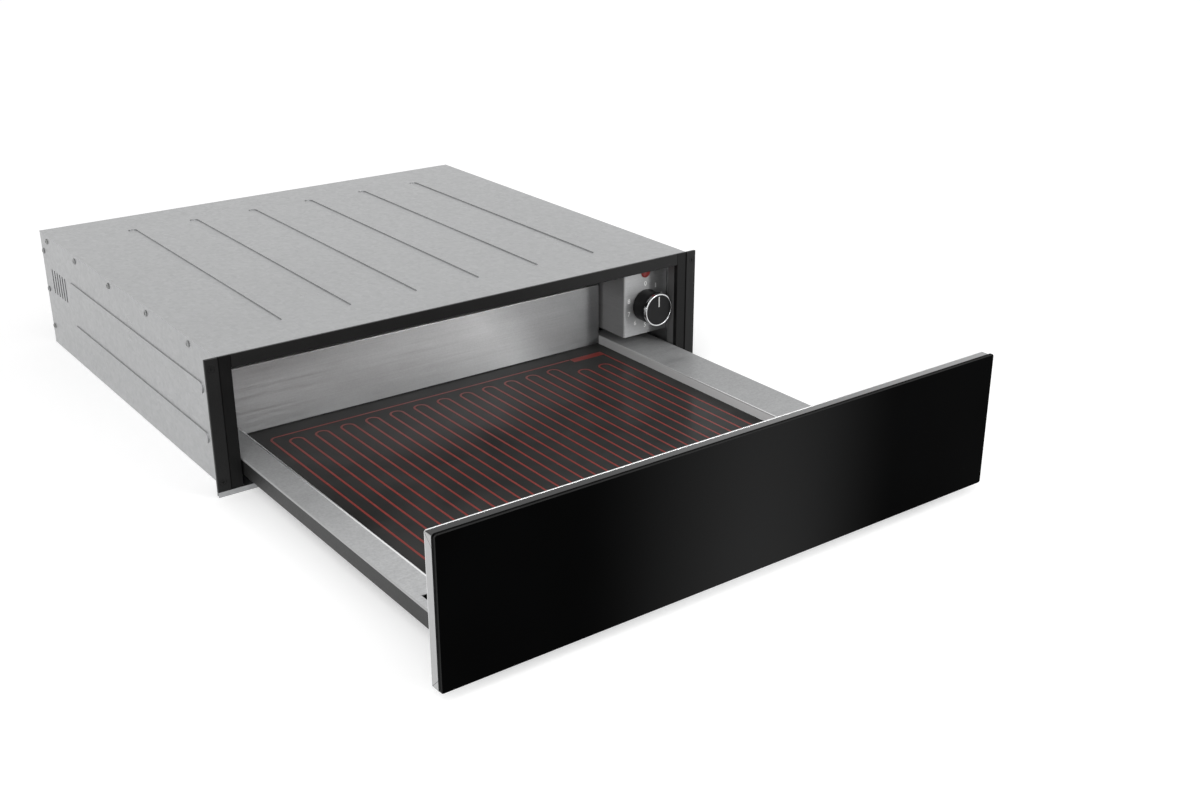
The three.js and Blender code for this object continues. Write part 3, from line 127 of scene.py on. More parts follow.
class Shade(NodeTree):
    """The node tree of one finish, on the piece's own Object coordinates."""

    def __init__(self, name: str) -> None:
        """Starts a material.

        Args:
            name: The finish's name.
        """
        self.material = bpy.data.materials.new(name)
        self.material.use_nodes = True
        super().__init__(self.material.node_tree)
        self.place = self.add("ShaderNodeTexCoord").outputs["Object"]

    def stretched(self, shares: Sequence[float]) -> bpy.types.NodeSocket:
        """Object coordinates drawn out by a share along each axis."""
        return self.add("ShaderNodeMapping", {"Vector": self.place, "Scale": shares}).outputs[0]

    def noise(
        self, size: float, detail: float = 2.0, shares: Sequence[float] = (1, 1, 1), twist: float = 0.0
    ) -> bpy.types.NodeSocket:
        """A cloudy pattern.

        Args:
            size: The size of one cloud, in millimetres.
            detail: How many finer layers it holds.
            shares: The pattern's shares along X, Y and Z.
            twist: How far the pattern is bent by itself.

        Returns:
            A number from 0 to 1.
        """
        inputs = {
            "Vector": self.stretched(shares), "Scale": 1 / (size * MM), "Detail": detail, "Distortion": twist,
        }
        return self.add("ShaderNodeTexNoise", inputs).outputs["Fac"]

    def cells(self, size: float, output: str = "Color", feature: str = "F1") -> bpy.types.NodeSocket:
        """A pattern of irregular cells of a size in millimetres."""
        inputs = {"Vector": self.place, "Scale": 1 / (size * MM)}
        return self.add("ShaderNodeTexVoronoi", inputs, feature=feature).outputs[output]

    def spread(
        self, value: bpy.types.NodeSocket, low: float, high: float, start: float = 0.3, end: float = 0.7
    ) -> bpy.types.NodeSocket:
        """Maps start to end of a pattern to low to high, held at both ends."""
        inputs = {"Value": value, "From Min": start, "From Max": end, "To Min": low, "To Max": high}
        return self.add("ShaderNodeMapRange", inputs).outputs["Result"]

    def tint(
        self, value: bpy.types.NodeSocket, low: Colour, high: Colour, start: float = 0.3, end: float = 0.7
    ) -> bpy.types.NodeSocket:
        """A colour between two, by a pattern.

        Args:
            value: The pattern.
            low: The colour up to the start.
            high: The colour from the end on.
            start: The pattern's value where the change begins.
            end: The pattern's value where it is complete.

        Returns:
            The mixed colour.
        """
        ramp = self.add("ShaderNodeValToRGB", {"Fac": value})
        first, last = ramp.color_ramp.elements
        first.position, last.position = start, end
        first.color, last.color = (*low, 1), (*high, 1)
        return ramp.outputs["Color"]

    def over(self, share: Any, below: Any, above: Any, blend: str = "MIX") -> bpy.types.NodeSocket:
        """One colour over another by a share, where 6, 7 and 2 are the Mix node's colour sockets."""
        inputs = {0: share, 6: below, 7: above}
        return self.add("ShaderNodeMix", inputs, data_type="RGBA", blend_type=blend).outputs[2]

    def relief(
        self, height: bpy.types.NodeSocket, depth: float, share: float = 1.0, onto: Any = None
    ) -> bpy.types.NodeSocket:
        """A bump from a height pattern.

        Args:
            height: The pattern.
            depth: Its depth in millimetres.
            share: How strongly it shows.
            onto: Another bump below it.

        Returns:
            The bent normal.
        """
        inputs = {"Height": height, "Distance": depth * MM, "Strength": share}
        if onto is not None:
            inputs["Normal"] = onto
        return self.add("ShaderNodeBump", inputs).outputs["Normal"]

    def facing(self) -> bpy.types.bpy_prop_collection:
        """The way that the surface faces, split along the piece's own axes."""
        return self.parts(self.add("ShaderNodeTexCoord").outputs["Normal"])

    def slants(self) -> list[bpy.types.NodeSocket]:
        """How far the surface faces along X, Y and Z, each from 0 to 1."""
        return [self.maths(part, 0, "ABSOLUTE") for part in self.facing()]

    def dimmed(self, colour: bpy.types.NodeSocket, by: Any) -> bpy.types.NodeSocket:
        """A colour multiplied by another, or by a number."""
        return self.over(1.0, colour, (*grey(by), 1) if isinstance(by, float) else by, "MULTIPLY")

    def surface(self, **inputs: Any) -> bpy.types.Material:
        """Ends the tree in one Principled shader.

        Args:
            inputs: The shader's sockets, with _ for a space.

        Returns:
            The finished material.
        """
        named = {key.replace("_", " "): value for key, value in inputs.items()}
        for key in ("Base Color", "Emission Color"):
            if isinstance(named.get(key), tuple):
                named[key] = (*named[key], 1)
        shader = self.add("ShaderNodeBsdfPrincipled", named)
        self.add("ShaderNodeOutputMaterial", {"Surface": shader.outputs[0]})
        return self.material


def grey(value: float, warm: float = 0.0) -> Colour:
    """A grey, a little warmer or cooler than neutral."""
    return (value * (1 + warm), value, value * (1 - warm))


def shades(colour: Colour, low: float, high: float = 1.0) -> tuple[Colour, Colour]:
    """Two shades of a colour, as shares of it."""
    return tuple(c * low for c in colour), tuple(c * high for c in colour)


@dataclass(frozen=True)
class Finish:
    """What every finish has: a name and a way to be made."""

    name: str

    def make(self) -> bpy.types.Material:
        """Builds the material."""
        raise NotImplementedError


@dataclass(frozen=True)
class FineFinish(Finish):
    """A finish whose tone, gloss and relief all follow one fine pattern."""

    tones: tuple[Colour, Colour]
    size: float  # of the pattern, in millimetres
    rough: Pair
    relief: Pair  # its depth in millimetres, and how strongly it shows
    detail: float = 2.0
    shares: tuple[float, float, float] = (1, 1, 1)
    twist: float = 0.0
    gloss: float = 0.5
    metal: float = 0.0

    def make(self) -> bpy.types.Material:
        """Builds the material.

        Returns:
            The new material.
        """
        s = Shade(self.name)
        pattern = s.noise(self.size, self.detail, self.shares, self.twist)
        return s.surface(
            Base_Color=s.tint(pattern, *self.tones),
            Metallic=self.metal,
            Roughness=s.spread(pattern, *self.rough),
            Specular_IOR_Level=self.gloss,
            Normal=s.relief(pattern, *self.relief),
        )


def ink(name: str, colour: Colour) -> FineFinish:
    """Screen-printed ink of a colour, slightly uneven in cover."""
    tones = shades(colour, 0.88)
    return FineFinish(name, tones, size=0.5, rough=(0.42, 0.58), relief=(0.005, 0.3), gloss=0.3)


@dataclass(frozen=True)
class GlossGlass(Finish):
    """Float glass printed black behind: deep gloss, faint haze and wiping marks."""

    tone: float = 0.001
    haze: float = 0.05
    gloss: float = 0.006

    def make(self) -> bpy.types.Material:
        """Builds the material.

        Returns:
            The new material.
        """
        s = Shade(self.name)
        wipes = s.noise(38, 3, (0.35, 1, 1), 0.6)
        colour = s.tint(s.noise(120, 2), grey(self.tone * 0.8), grey(self.tone * 1.3, -0.06))
        return s.surface(
            Base_Color=colour,
            Roughness=s.spread(wipes, self.haze * 0.7, self.haze * 1.5),
            Specular_IOR_Level=self.gloss,
            Normal=s.relief(s.noise(160, 1), 0.05, 0.12),
        )


@dataclass(frozen=True)
class FloorGlass(Finish):
    """Dark toughened glass under food: fine grain, wiping haze, a little dust."""

    tone: float = 0.033
    gloss: float = 0.032

    def make(self) -> bpy.types.Material:
        """Builds the material.

        Returns:
            The new material.
        """
        s = Shade(self.name)
        grain = s.noise(0.7, 1)
        cloud = s.noise(60, 3, twist=0.4)
        dust = s.spread(s.noise(1.1, 0), 0, 1, 0.74, 0.8)
        base = s.tint(cloud, grey(self.tone * 0.8, 0.02), grey(self.tone * 1.25, 0.02))
        colour = s.over(s.maths(dust, 0.25, "MULTIPLY"), base, (0.06, 0.057, 0.055, 1))
        return s.surface(
            Base_Color=colour,
            Roughness=s.maths(s.spread(cloud, 0.12, 0.2), s.spread(grain, 0, 0.04)),
            Specular_IOR_Level=self.gloss,
            Normal=s.relief(grain, 0.006, 0.25),
        )


@dataclass(frozen=True)
class BrushedSteel(Finish):
    """Stainless sheet with a linear grain at three widths, handling marks and a painted highlight on its
    bends.
    """

    tone: float = 0.44
    grain: Grain = Grain.ALONG_X
    rough: float = 0.4
    draw: float = 0.8
    # the tone of the bends: a painted highlight
    bend: float = 0.5
    polish: float = 0.18  # how much smoother the bends are
    metal: float = 1.0
    gloss: float = 0.5
    mottle: Pair = (1.7, 0.93)  # its size in millimetres and its least share

    def tinted(
        self, s: Shade, line: bpy.types.NodeSocket, marks: bpy.types.NodeSocket
    ) -> bpy.types.NodeSocket:
        """The colour of the brushed faces: the grain's lines under handling marks and a mottle.

        Args:
            s: The finish's tree.
            line: The grain's lines.
            marks: The handling marks.

        Returns:
            The colour.
        """
        colour = s.tint(line, grey(self.tone * 0.86, -0.008), grey(self.tone * 1.12, -0.008), 0.0, 1.0)
        colour = s.dimmed(colour, s.tint(marks, grey(0.93), grey(1.0)))
        size, least = self.mottle
        return s.dimmed(colour, s.tint(s.noise(size, 2), grey(least), grey(1.0)))

    def worked(self, s: Shade, colour: bpy.types.NodeSocket) -> tuple[bpy.types.NodeSocket, Any]:
        """The colour with any painted light and shade added to it, and the metallic share."""
        return colour, self.metal

    def make(self) -> bpy.types.Material:
        """Builds the material.

        Returns:
            The new material.
        """
        s = Shade(self.name)
        shares = self.grain.value
        fine, middle, wide = (s.noise(size, 2, shares) for size in (0.28, 0.8, 3.2))
        marks = s.noise(55, 3, twist=0.5)
        lines = s.blended((fine, 1.0), (middle, 0.75), (wide, 0.3))
        line = s.spread(lines, 0, 1, 0.6, 1.4)
        colour, metal = self.worked(s, self.tinted(s, line, marks))
        along, back, up = s.slants()
        # painted highlight: faces on a bend are coloured towards the bend tone
        bent = s.spread(s.maths(up, s.maths(along, back, "MAXIMUM"), "MINIMUM"), 0, 1, 0.08, 0.2)
        colour = s.over(bent, colour, (*grey(self.bend), 1))
        across = [0.02 if share < 0.5 else 1.0 for share in shares]
        smoother = s.spread(bent, 0, -self.polish, 0, 1)
        rough = s.maths(s.spread(line, self.rough - 0.05, self.rough + 0.07), s.spread(marks, 0, 0.05))
        return s.surface(
            Base_Color=colour,
            Metallic=metal,
            Roughness=s.maths(rough, smoother),
            Specular_IOR_Level=self.gloss,
            Anisotropic=self.draw,
            Tangent=s.vector(*across),
            Normal=s.relief(line, 0.012, 0.35, s.relief(s.noise(self.mottle[0] * 1.3, 2), 0.03, 0.4)),
        )


@dataclass(frozen=True)
class RailSteel(BrushedSteel):
    """Rail sheet with painted light and shade: brighter towards the front as a painted reflection, a painted
    shade on the outer skirt, painted light on the inner wall.
    """

    rear: Pair = (0.78, -0.06)  # painted shade at the rear: share of the tone, and the Y where it is reached
    front: tuple[float, float, float] = (1.55, 1.12, -0.44)  # painted reflection in front: share of the tone on the left, on the right, and the Y
    most: float = 2.0  # what a share of 1 stands for in a ramp
    # share of the tone on the outer skirts: a painted shade
    skirt: float = 0.08
    inner: Pair = (0.98, 0.44)  # painted light: tone of the walls towards the food, in front and behind
    inner_metal: float = 0.0
    outer_from: float = 0.2615  # how far from the middle the outer skirts begin
    inner_to: float = 0.2362  # how far from the middle the inner walls end
    fade: float = 0.001  # how soft these two limits are

    def worked(self, s: Shade, colour: bpy.types.NodeSocket) -> tuple[bpy.types.NodeSocket, Any]:
        """Paints the rail brighter in front as a painted reflection, a painted shade on its outer skirt and
        painted light on its inner wall.

        Args:
            s: The finish's tree.
            colour: The brushed faces' colour.

        Returns:
            The new colour and the metallic share.
        """
        where = s.parts(s.place)
        forward = s.spread(where["Y"], 0, 1, self.front[2], self.rear[1])
        rear = grey(self.rear[0] / self.most)
        left, right = (s.tint(forward, grey(share / self.most), rear, 0, 1) for share in self.front[:2])
        # painted reflection: brighter towards the front, more so on the left rail
        painted_front_light = s.over(s.spread(where["X"], 0, 1, -0.01, 0.01), left, right)
        colour = s.dimmed(s.dimmed(colour, self.most), painted_front_light)
        upright = s.spread(s.slants()[0], 0, 1, *FLAT_ON)
        far = s.maths(where["X"], 0, "ABSOLUTE")
        outside = s.spread(far, 0, 1, self.outer_from - self.fade, self.outer_from)
        inside = s.spread(far, 1, 0, self.inner_to, self.inner_to + self.fade)
        outer, inner = (s.maths(upright, share, "MULTIPLY") for share in (outside, inside))
        # painted shade on the outer skirt, and painted light on the inner wall that fades towards the rear
        colour = s.over(outer, colour, (*grey(self.tone * self.skirt), 1))
        colour = s.over(inner, colour, s.tint(forward, *(grey(tone) for tone in self.inner), 0.3, 1))
        return colour, s.spread(inner, self.metal, self.inner_metal, 0, 1)


@dataclass(frozen=True)
class WallSteel(BrushedSteel):
    """The wall's sheet, with a painted reflection brightest right of its middle and painted shade at its
    right end.
    """

    places: tuple[float, ...] = (-0.24, -0.11, 0.07, 0.125, 0.19, 0.25)  # along X, in metres
    shares: tuple[float, ...] = (0.8, 0.7, 0.88, 0.57, 0.46, 0.64)  # painted light and shade: share of the tone at these places
    most: float = 1.3  # what a share of 1 stands for
    half: float = 0.3  # where the ramp ends on either side
    slope: float = 0.75  # how far the painted reflection leans to the left on its way up
    middle: float = 0.057  # the height at which the places hold
    heights: Pair = (0.022, 0.093)
    rising: Pair = (0.88, 1.1)  # painted light: share of the tone at these heights

    def worked(self, s: Shade, colour: bpy.types.NodeSocket) -> tuple[bpy.types.NodeSocket, Any]:
        """Paints light and shade into the tone, softly along the wall and up it.

        Args:
            s: The finish's tree.
            colour: The brushed faces' colour.

        Returns:
            The new colour and the metallic share.
        """
        where = s.parts(s.place)
        lean = s.maths(s.maths(where["Z"], self.middle, "SUBTRACT"), self.slope, "MULTIPLY")
        along = s.spread(s.maths(where["X"], lean), 0, 1, -self.half, self.half)
        # a ramp of painted reflection and shade along the wall
        ramp = s.add("ShaderNodeValToRGB", {"Fac": along})
        stops = ramp.color_ramp.elements
        stops.remove(stops[1])
        for number, (place, share) in enumerate(zip(self.places, self.shares)):
            position = place / self.half / 2 + 0.5
            stop = stops.new(position) if number else stops[0]
            stop.position = position
            stop.color = (*grey(share), 1)
        lighter = s.dimmed(s.dimmed(colour, self.most), s.spread(where["Z"], *self.rising, *self.heights))
        return s.dimmed(lighter, ramp.outputs["Color"]), self.metal


@dataclass(frozen=True)
class SatinMetal(Finish):
    """Drawn metal with an even, very fine satin, as on the anodised frame and on rolled lips, with an
    optional painted reflection on its upper side.
    """

    tone: float = 0.43
    top: Pair = (1.0, 1.0)  # painted reflection: share of the tone on the upper side, at its left and right end
    half: float = 0.2975  # of the frame's width

    def make(self) -> bpy.types.Material:
        """Builds the material.

        Returns:
            The new material.
        """
        s = Shade(self.name)
        satin = s.noise(0.35, 2)
        drawn = s.noise(1.3, 2, Grain.ALONG_X.value)
        both = s.blended((satin, 0.6), (drawn, 0.4))
        colour = s.tint(both, grey(self.tone * 0.93, -0.004), grey(self.tone * 1.07, -0.004))
        # painted reflection on the upper side, darker towards one end
        if self.top != (1.0, 1.0):
            up = s.spread(s.facing()["Z"], 0, 1, *FLAT_ON)
            share = s.spread(s.parts(s.place)["X"], 0, 1, -self.half, self.half)
            shade = s.tint(share, grey(self.top[0]), grey(self.top[1]), 0.25, 1.0)
            colour = s.over(up, colour, shade, "MULTIPLY")
        return s.surface(
            Base_Color=colour,
            Metallic=1.0,
            Roughness=s.spread(both, 0.3, 0.4),
            Normal=s.relief(satin, 0.01, 0.3),
        )


@dataclass(frozen=True)
class GalvanisedSheet(Finish):
    """Zinc-coated sheet: small spangles of differing tone and gloss, skin-passed, with a faint bloom."""

    tone: float = 0.41
    spangle: float = 4.2
    metal: float = 0.82

    def make(self) -> bpy.types.Material:
        """Builds the material.

        Returns:
            The new material.
        """
        s = Shade(self.name)
        crystals = s.add("ShaderNodeSeparateColor", {0: s.cells(self.spangle)})
        small = s.add("ShaderNodeSeparateColor", {0: s.cells(self.spangle / 2.7)})
        mixed = s.blended((crystals.outputs[0], 0.6), (small.outputs[0], 0.4))
        bloom = s.noise(150, 2, twist=0.3)
        rolled = s.noise(1.4, 2, (1, 0.04, 1))
        colour = s.tint(mixed, grey(self.tone * 0.93, -0.01), grey(self.tone * 1.05, -0.01), 0, 1)
        colour = s.dimmed(colour, s.tint(bloom, grey(0.93), grey(1.0)))
        colour = s.dimmed(colour, s.tint(rolled, grey(0.95), grey(1.0)))
        return s.surface(
            Base_Color=colour,
            Metallic=self.metal,
            Roughness=s.maths(s.spread(crystals.outputs[1], 0.27, 0.37, 0, 1), s.spread(bloom, 0, 0.05)),
            Normal=s.relief(rolled, 0.01, 0.3, s.relief(s.cells(self.spangle, "Distance"), 0.015, 0.2)),
        )


@dataclass(frozen=True)
class PlatedSteel(Finish):
    """Zinc-plated rolled section: bluish, with running marks along its length."""

    tone: float = 0.3

    def make(self) -> bpy.types.Material:
        """Builds the material.

        Returns:
            The new material.
        """
        s = Shade(self.name)
        rolled = s.noise(1.1, 3, Grain.ALONG_Y.value)
        stain = s.noise(24, 3, (1, 0.3, 1), 0.4)
        colour = s.tint(rolled, grey(self.tone * 0.85, -0.02), grey(self.tone * 1.1, -0.02))
        colour = s.dimmed(colour, s.tint(stain, (0.86, 0.85, 0.8), (1, 1, 1)))
        return s.surface(
            Base_Color=colour,
            Metallic=1.0,
            Roughness=s.spread(rolled, 0.22, 0.36),
            Normal=s.relief(rolled, 0.01, 0.4),
        )


@dataclass(frozen=True)
class PowderCoat(Finish):
    """Baked powder paint with its orange-peel skin and fine flecks."""

    tone: float = 0.01
    gloss: float = 0.14

    def coloured(self, s: Shade) -> tuple[bpy.types.NodeSocket, Any]:
        """The paint's colour and its metallic share."""
        return s.tint(s.noise(0.35, 1), grey(self.tone * 0.75), grey(self.tone * 1.4)), 0.0

    def make(self) -> bpy.types.Material:
        """Builds the material.

        Returns:
            The new material.
        """
        s = Shade(self.name)
        colour, metal = self.coloured(s)
        return s.surface(
            Base_Color=colour,
            Metallic=metal,
            Roughness=s.spread(s.noise(28, 2), 0.38, 0.48),
            Specular_IOR_Level=self.gloss,
            Normal=s.relief(s.noise(0.35, 1), 0.008, 0.3, s.relief(s.noise(1.5, 1), 0.03, 0.35)),
        )


@dataclass(frozen=True)
class TrimCoat(PowderCoat):
    """The paint of the stepped trims, with a painted shade on the inner leaf and a painted lit strip of grey
    metal at the back of its return.
    """

    leaf: float = 0.4  # painted shade: share of the tone on the inner leaf
    leaf_from: float = 0.2785  # how far from the middle the outer leaf begins
    # the grey and metallic share of the painted lit strip at the back of the return
    bare: float = 0.13
    bare_metal: float = 0.5
    bare_from: Pair = (0.2662, -0.0475)  # how far from the middle, and from which Y, the painted lit strip begins
    fade: float = 0.0005  # how soft these limits are

    def coloured(self, s: Shade) -> tuple[bpy.types.NodeSocket, Any]:
        """Paints shade on the inner leaf and a lit grey strip at the back of the return.

        Args:
            s: The finish's tree.

        Returns:
            The colour and the metallic share.
        """
        colour, _ = super().coloured(s)
        where = s.parts(s.place)
        far = s.maths(where["X"], 0, "ABSOLUTE")
        # painted shade on the inner leaf
        leaf = s.spread(far, 1, 0, self.leaf_from - self.fade, self.leaf_from)
        colour = s.over(leaf, colour, (*grey(self.tone * self.leaf), 1))
        # painted light: the back of the return is coloured as a lit grey strip
        edge, start = self.bare_from
        upright = s.spread(s.slants()[0], 0, 1, *FLAT_ON)
        inside = s.maths(upright, s.spread(far, 1, 0, edge, edge + self.fade), "MULTIPLY")
        bare = s.maths(inside, s.spread(where["Y"], 0, 1, start, start + self.fade), "MULTIPLY")
        return s.over(bare, colour, (*grey(self.bare), 1)), s.spread(bare, 0, self.bare_metal, 0, 1)


@dataclass(frozen=True)
class MouldedPlastic(Finish):
    """Injection-moulded plastic with a fine eroded texture."""

    colour: Colour = (0.009, 0.009, 0.0095)
    rough: float = 0.34
    gloss: float = 0.13

    def make(self) -> bpy.types.Material:
        """Builds the material.

        Returns:
            The new material.
        """
        s = Shade(self.name)
        texture = s.noise(0.22, 2)
        flow = s.noise(9, 2, twist=0.7)
        rough = s.spread(texture, self.rough - 0.04, self.rough + 0.05)
        return s.surface(
            Base_Color=s.tint(flow, *shades(self.colour, 0.86, 1.14)),
            Roughness=s.maths(rough, s.spread(flow, 0, 0.05)),
            Specular_IOR_Level=self.gloss,
            Normal=s.relief(texture, 0.01, 0.3),
        )


@dataclass(frozen=True)
class Rubber(Finish):
    """Matt black rubber with bloom and a little dust."""

    def make(self) -> bpy.types.Material:
        """Builds the material.

        Returns:
            The new material.
        """
        s = Shade(self.name)
        bloom = s.noise(5, 3, twist=0.5)
        skin = s.noise(0.4, 2)
        return s.surface(
            Base_Color=s.tint(bloom, grey(0.012), grey(0.026, 0.03)),
            Roughness=s.spread(skin, 0.72, 0.9),
            Specular_IOR_Level=0.2,
            Normal=s.relief(skin, 0.02, 0.4),
        )


@dataclass(frozen=True)
class FiredTrace(Finish):
    """The red heating line fired on the glass: a grainy enamel with a faint cloudy tone."""

    colour: Colour = (0.27, 0.045, 0.037)

    def make(self) -> bpy.types.Material:
        """Builds the material.

        Returns:
            The new material.
        """
        s = Shade(self.name)
        grain = s.noise(0.45, 2)
        flow = s.noise(14, 2)
        fired = s.tint(grain, *shades(self.colour, 0.72))
        colour = s.dimmed(fired, s.tint(flow, grey(0.86), grey(1.0)))
        return s.surface(
            Base_Color=colour,
            Roughness=s.spread(grain, 0.28, 0.4),
            Specular_IOR_Level=0.12,
            Normal=s.relief(grain, 0.004, 0.3),
        )


@dataclass(frozen=True)
class LensPlastic(Finish):
    """Deep red lens plastic with moulded prisms inside and a polished dome."""

    def make(self) -> bpy.types.Material:
        """Builds the material.

        Returns:
            The new material.
        """
        s = Shade(self.name)
        prisms = s.cells(0.7, "Distance")
        return s.surface(
            Base_Color=s.tint(prisms, (0.33, 0.045, 0.042), (0.24, 0.03, 0.028), 0, 0.6),
            Roughness=s.spread(prisms, 0.3, 0.42, 0, 1),
            Specular_IOR_Level=0.3,
            Coat_Weight=0.2,
            Coat_Roughness=0.1,
            Normal=s.relief(prisms, 0.05, 0.35),
        )


@dataclass(frozen=True)
class Ceramic(Finish):
    """Unglazed ceramic with fine pores."""

    def make(self) -> bpy.types.Material:
        """Builds the material.

        Returns:
            The new material.
        """
        s = Shade(self.name)
        pores = s.spread(s.noise(0.7, 2), 0, 1, 0.28, 0.36)
        return s.surface(
            Base_Color=s.tint(pores, (0.42, 0.39, 0.32), (0.64, 0.61, 0.54), 0, 1),
            Roughness=s.spread(pores, 0.7, 0.5, 0, 1),
            Specular_IOR_Level=0.3,
            Normal=s.relief(pores, 0.03, 0.4),
        )


FRONT_GLASS = GlossGlass("front_glass_black")
FLOOR_GLASS = FloorGlass("floor_glass_dark")
GLASS_EDGE = FineFinish(  # half polished, with fine marks of the wheel across it
    "glass_edge_ground", shades(grey(0.014), 0.8, 1.2), size=0.25, shares=(1, 0.2, 1),
    rough=(0.36, 0.5), relief=(0.004, 0.4), gloss=0.06,
)
# its upper side carries a painted reflection, dark at the left end and light at the right
FRAME_SATIN = SatinMetal("frame_satin", top=(0.11, 0.8))
# a bright tone as a painted highlight on the frame's rear edge
FRAME_HIGHLIGHT = SatinMetal("frame_edge_painted_highlight", tone=0.85)
STEEL_ACROSS = BrushedSteel("steel_brushed_across")
STEEL_WALL = WallSteel("steel_wall", bend=0.34, polish=0.0)
STEEL_RAIL = RailSteel(
    "steel_rail", tone=0.44, bend=0.42, polish=0.0, metal=0.55, gloss=0.18, mottle=(2.3, 0.84)
)
# a bright tone as a painted highlight on the rails' inner bends
STEEL_EDGE_HIGHLIGHT = SatinMetal("steel_edge_painted_highlight", tone=0.9)
STEEL_BOX = BrushedSteel("steel_box", tone=0.45, grain=Grain.LEVEL, rough=0.46, draw=0.6, metal=0.7)
GALVANISED = GalvanisedSheet("zinc_spangle")
PLATED = PlatedSteel("zinc_plated")
BLACK_PAINT = PowderCoat("black_powder_coat")
TRIM_PAINT = TrimCoat("trim_powder_coat")
BLACK_PLASTIC = MouldedPlastic("black_moulding")
BLACK_RUBBER = Rubber("black_rubber")
BRIGHT_CHROME = FineFinish(  # with hair-fine turning marks
    "bright_chrome", shades(grey(0.62, -0.01), 0.96, 1.04), size=0.3, shares=Grain.ALONG_Y.value,
    rough=(0.07, 0.15), relief=(0.003, 0.2), metal=1.0,
)
WHITE_PLASTIC = MouldedPlastic("white_moulding", (0.72, 0.72, 0.7), rough=0.4, gloss=0.4)
POINTER_INK = ink("pointer_ink", (0.6, 0.6, 0.59))
DIAL_INK = ink("dial_ink", (0.9, 0.9, 0.89))
RED_LENS = LensPlastic("red_lens_plastic")
RED_TRACE = FiredTrace("red_trace")
WOOL = FineFinish(
    "mineral_fibre", ((0.42, 0.37, 0.25), (0.66, 0.6, 0.46)), size=0.8, detail=4.0,
    shares=(0.2, 0.2, 1), twist=2.0, rough=(0.88, 0.98), relief=(0.3, 0.8), gloss=0.15,
)
CERAMIC = Ceramic("porous_ceramic")


@lru_cache(maxsize=None)
def material_of(finish: Finish) -> bpy.types.Material:
    """The one material of a finish."""
    return finish.make()


# ---------------------------------------------------------------- making pieces


def linked(name: str, data: bpy.types.ID) -> bpy.types.Object:
    """Puts a mesh, a text, a light or a camera in the scene as an object at the origin.

    Args:
        name: The object's name.
        data: What it holds.

    Returns:
        The new object.
    """
    piece = bpy.data.objects.new(name, data)
    bpy.context.scene.collection.objects.link(piece)
    return piece


def mesh_of(
    name: str, points: Iterable[Point], edges: Sequence[tuple[int, int]] = (),
    faces: Sequence[Sequence[int]] = (),
) -> bpy.types.Mesh:
    """A mesh from points in millimetres.

    Args:
        name: The mesh's name.
        points: The corners.
        edges: The two corners of each loose edge.
        faces: The corners of each face.

    Returns:
        The new mesh.
    """
    mesh = bpy.data.meshes.new(name)
    mesh.from_pydata([[c * MM for c in point] for point in points], edges, faces)
    return mesh


def weld(mesh: bpy.types.Mesh, parts: Iterable[bpy.types.Mesh], nearest: float) -> None:
    """Fills a mesh with closed parts, their double corners merged and their faces turned outwards.

    Args:
        mesh: The mesh to fill, which may be one of the parts.
        parts: What goes into it.
        nearest: Corners nearer than this become one, in metres.
    """
    form = bmesh.new()
    for part in parts:
        form.from_mesh(part)
    bmesh.ops.remove_doubles(form, verts=form.verts, dist=nearest)
    bmesh.ops.recalc_face_normals(form, faces=form.faces)
    form.to_mesh(mesh)
    form.free()


def plain_mesh(holder: bpy.types.Object) -> bpy.types.Mesh:
    """The plain mesh that an object comes to."""
    seen = bpy.context.evaluated_depsgraph_get()
    return bpy.data.meshes.new_from_object(holder.evaluated_get(seen), depsgraph=seen)


def box_faces(first: int = 0) -> list[list[int]]:
    """The six faces between two rows of four corners, counted from a first corner."""
    near, far = ([first + shift + i for i in range(4)] for shift in (0, 4))
    return [near, far] + [[near[i], near[i - 3], far[i - 3], far[i]] for i in range(4)]


def made(
    name: str, points: Sequence[Point], faces: Sequence[Sequence[int]], smooth_below: float = 0.0
) -> bpy.types.Object:
    """Makes a closed piece from points in millimetres, its faces turned outwards.

    Args:
        name: The piece's name.
        points: The corners, in millimetres.
        faces: The corners of each face.
        smooth_below: Edges bent by fewer degrees than this are shaded smooth.

    Returns:
        The new object.
    """
    mesh = mesh_of(name, points, faces=faces)
    weld(mesh, [mesh], WELD)
    if smooth_below:
        shade_smooth(mesh, smooth_below)
    return linked(name, mesh)


def shade_smooth(mesh: bpy.types.Mesh, angle: float) -> None:
    """Shades a mesh smooth where its edges bend by fewer degrees than the angle."""
    mesh.polygons.foreach_set("use_smooth", [True] * len(mesh.polygons))
    mesh.set_sharp_from_angle(angle=math.radians(angle))


def turned(name: str, profile: Sequence[Pair], x: float, z: float, segments: int) -> bpy.types.Object:
    """Turns a profile of (radius, Y) round an axis along Y.

    Args:
        name: The piece's name.
        profile: Points from the axis round to the axis, or a closed ring away from it.
        x: The axis's X, in millimetres.
        z: The axis's Z, in millimetres.
        segments: Steps round the axis.

    Returns:
        The new object.
    """
    points: list[Point] = []
    for step in range(segments):
        angle = 2 * math.pi * step / segments
        points += [(x + r * math.sin(angle), y, z + r * math.cos(angle)) for r, y in profile]
    count = len(profile)
    faces: list[list[int]] = []
    for step in range(segments):
        here, there = step * count, (step + 1) % segments * count
        for i in range(count - 1):
            low, high = profile[i][0] < ON_AXIS, profile[i + 1][0] < ON_AXIS
            if low and high:
                continue
            ring = [here + i, there + i, there + i + 1, here + i + 1]
            if low:
                ring = [here + i, there + i + 1, here + i + 1]
            if high:
                ring = [here + i, there + i, here + i + 1]
            faces.append(ring)
    return made(name, points, faces, TURNED_BEND)


def arc(cx: float, cy: float, radius: float, start: float, end: float, steps: int) -> list[Pair]:
    """Points on an arc, from one angle to another in degrees."""
    angles = [math.radians(start + (end - start) * i / steps) for i in range(steps + 1)]
    return [(cx + radius * math.cos(a), cy + radius * math.sin(a)) for a in angles]


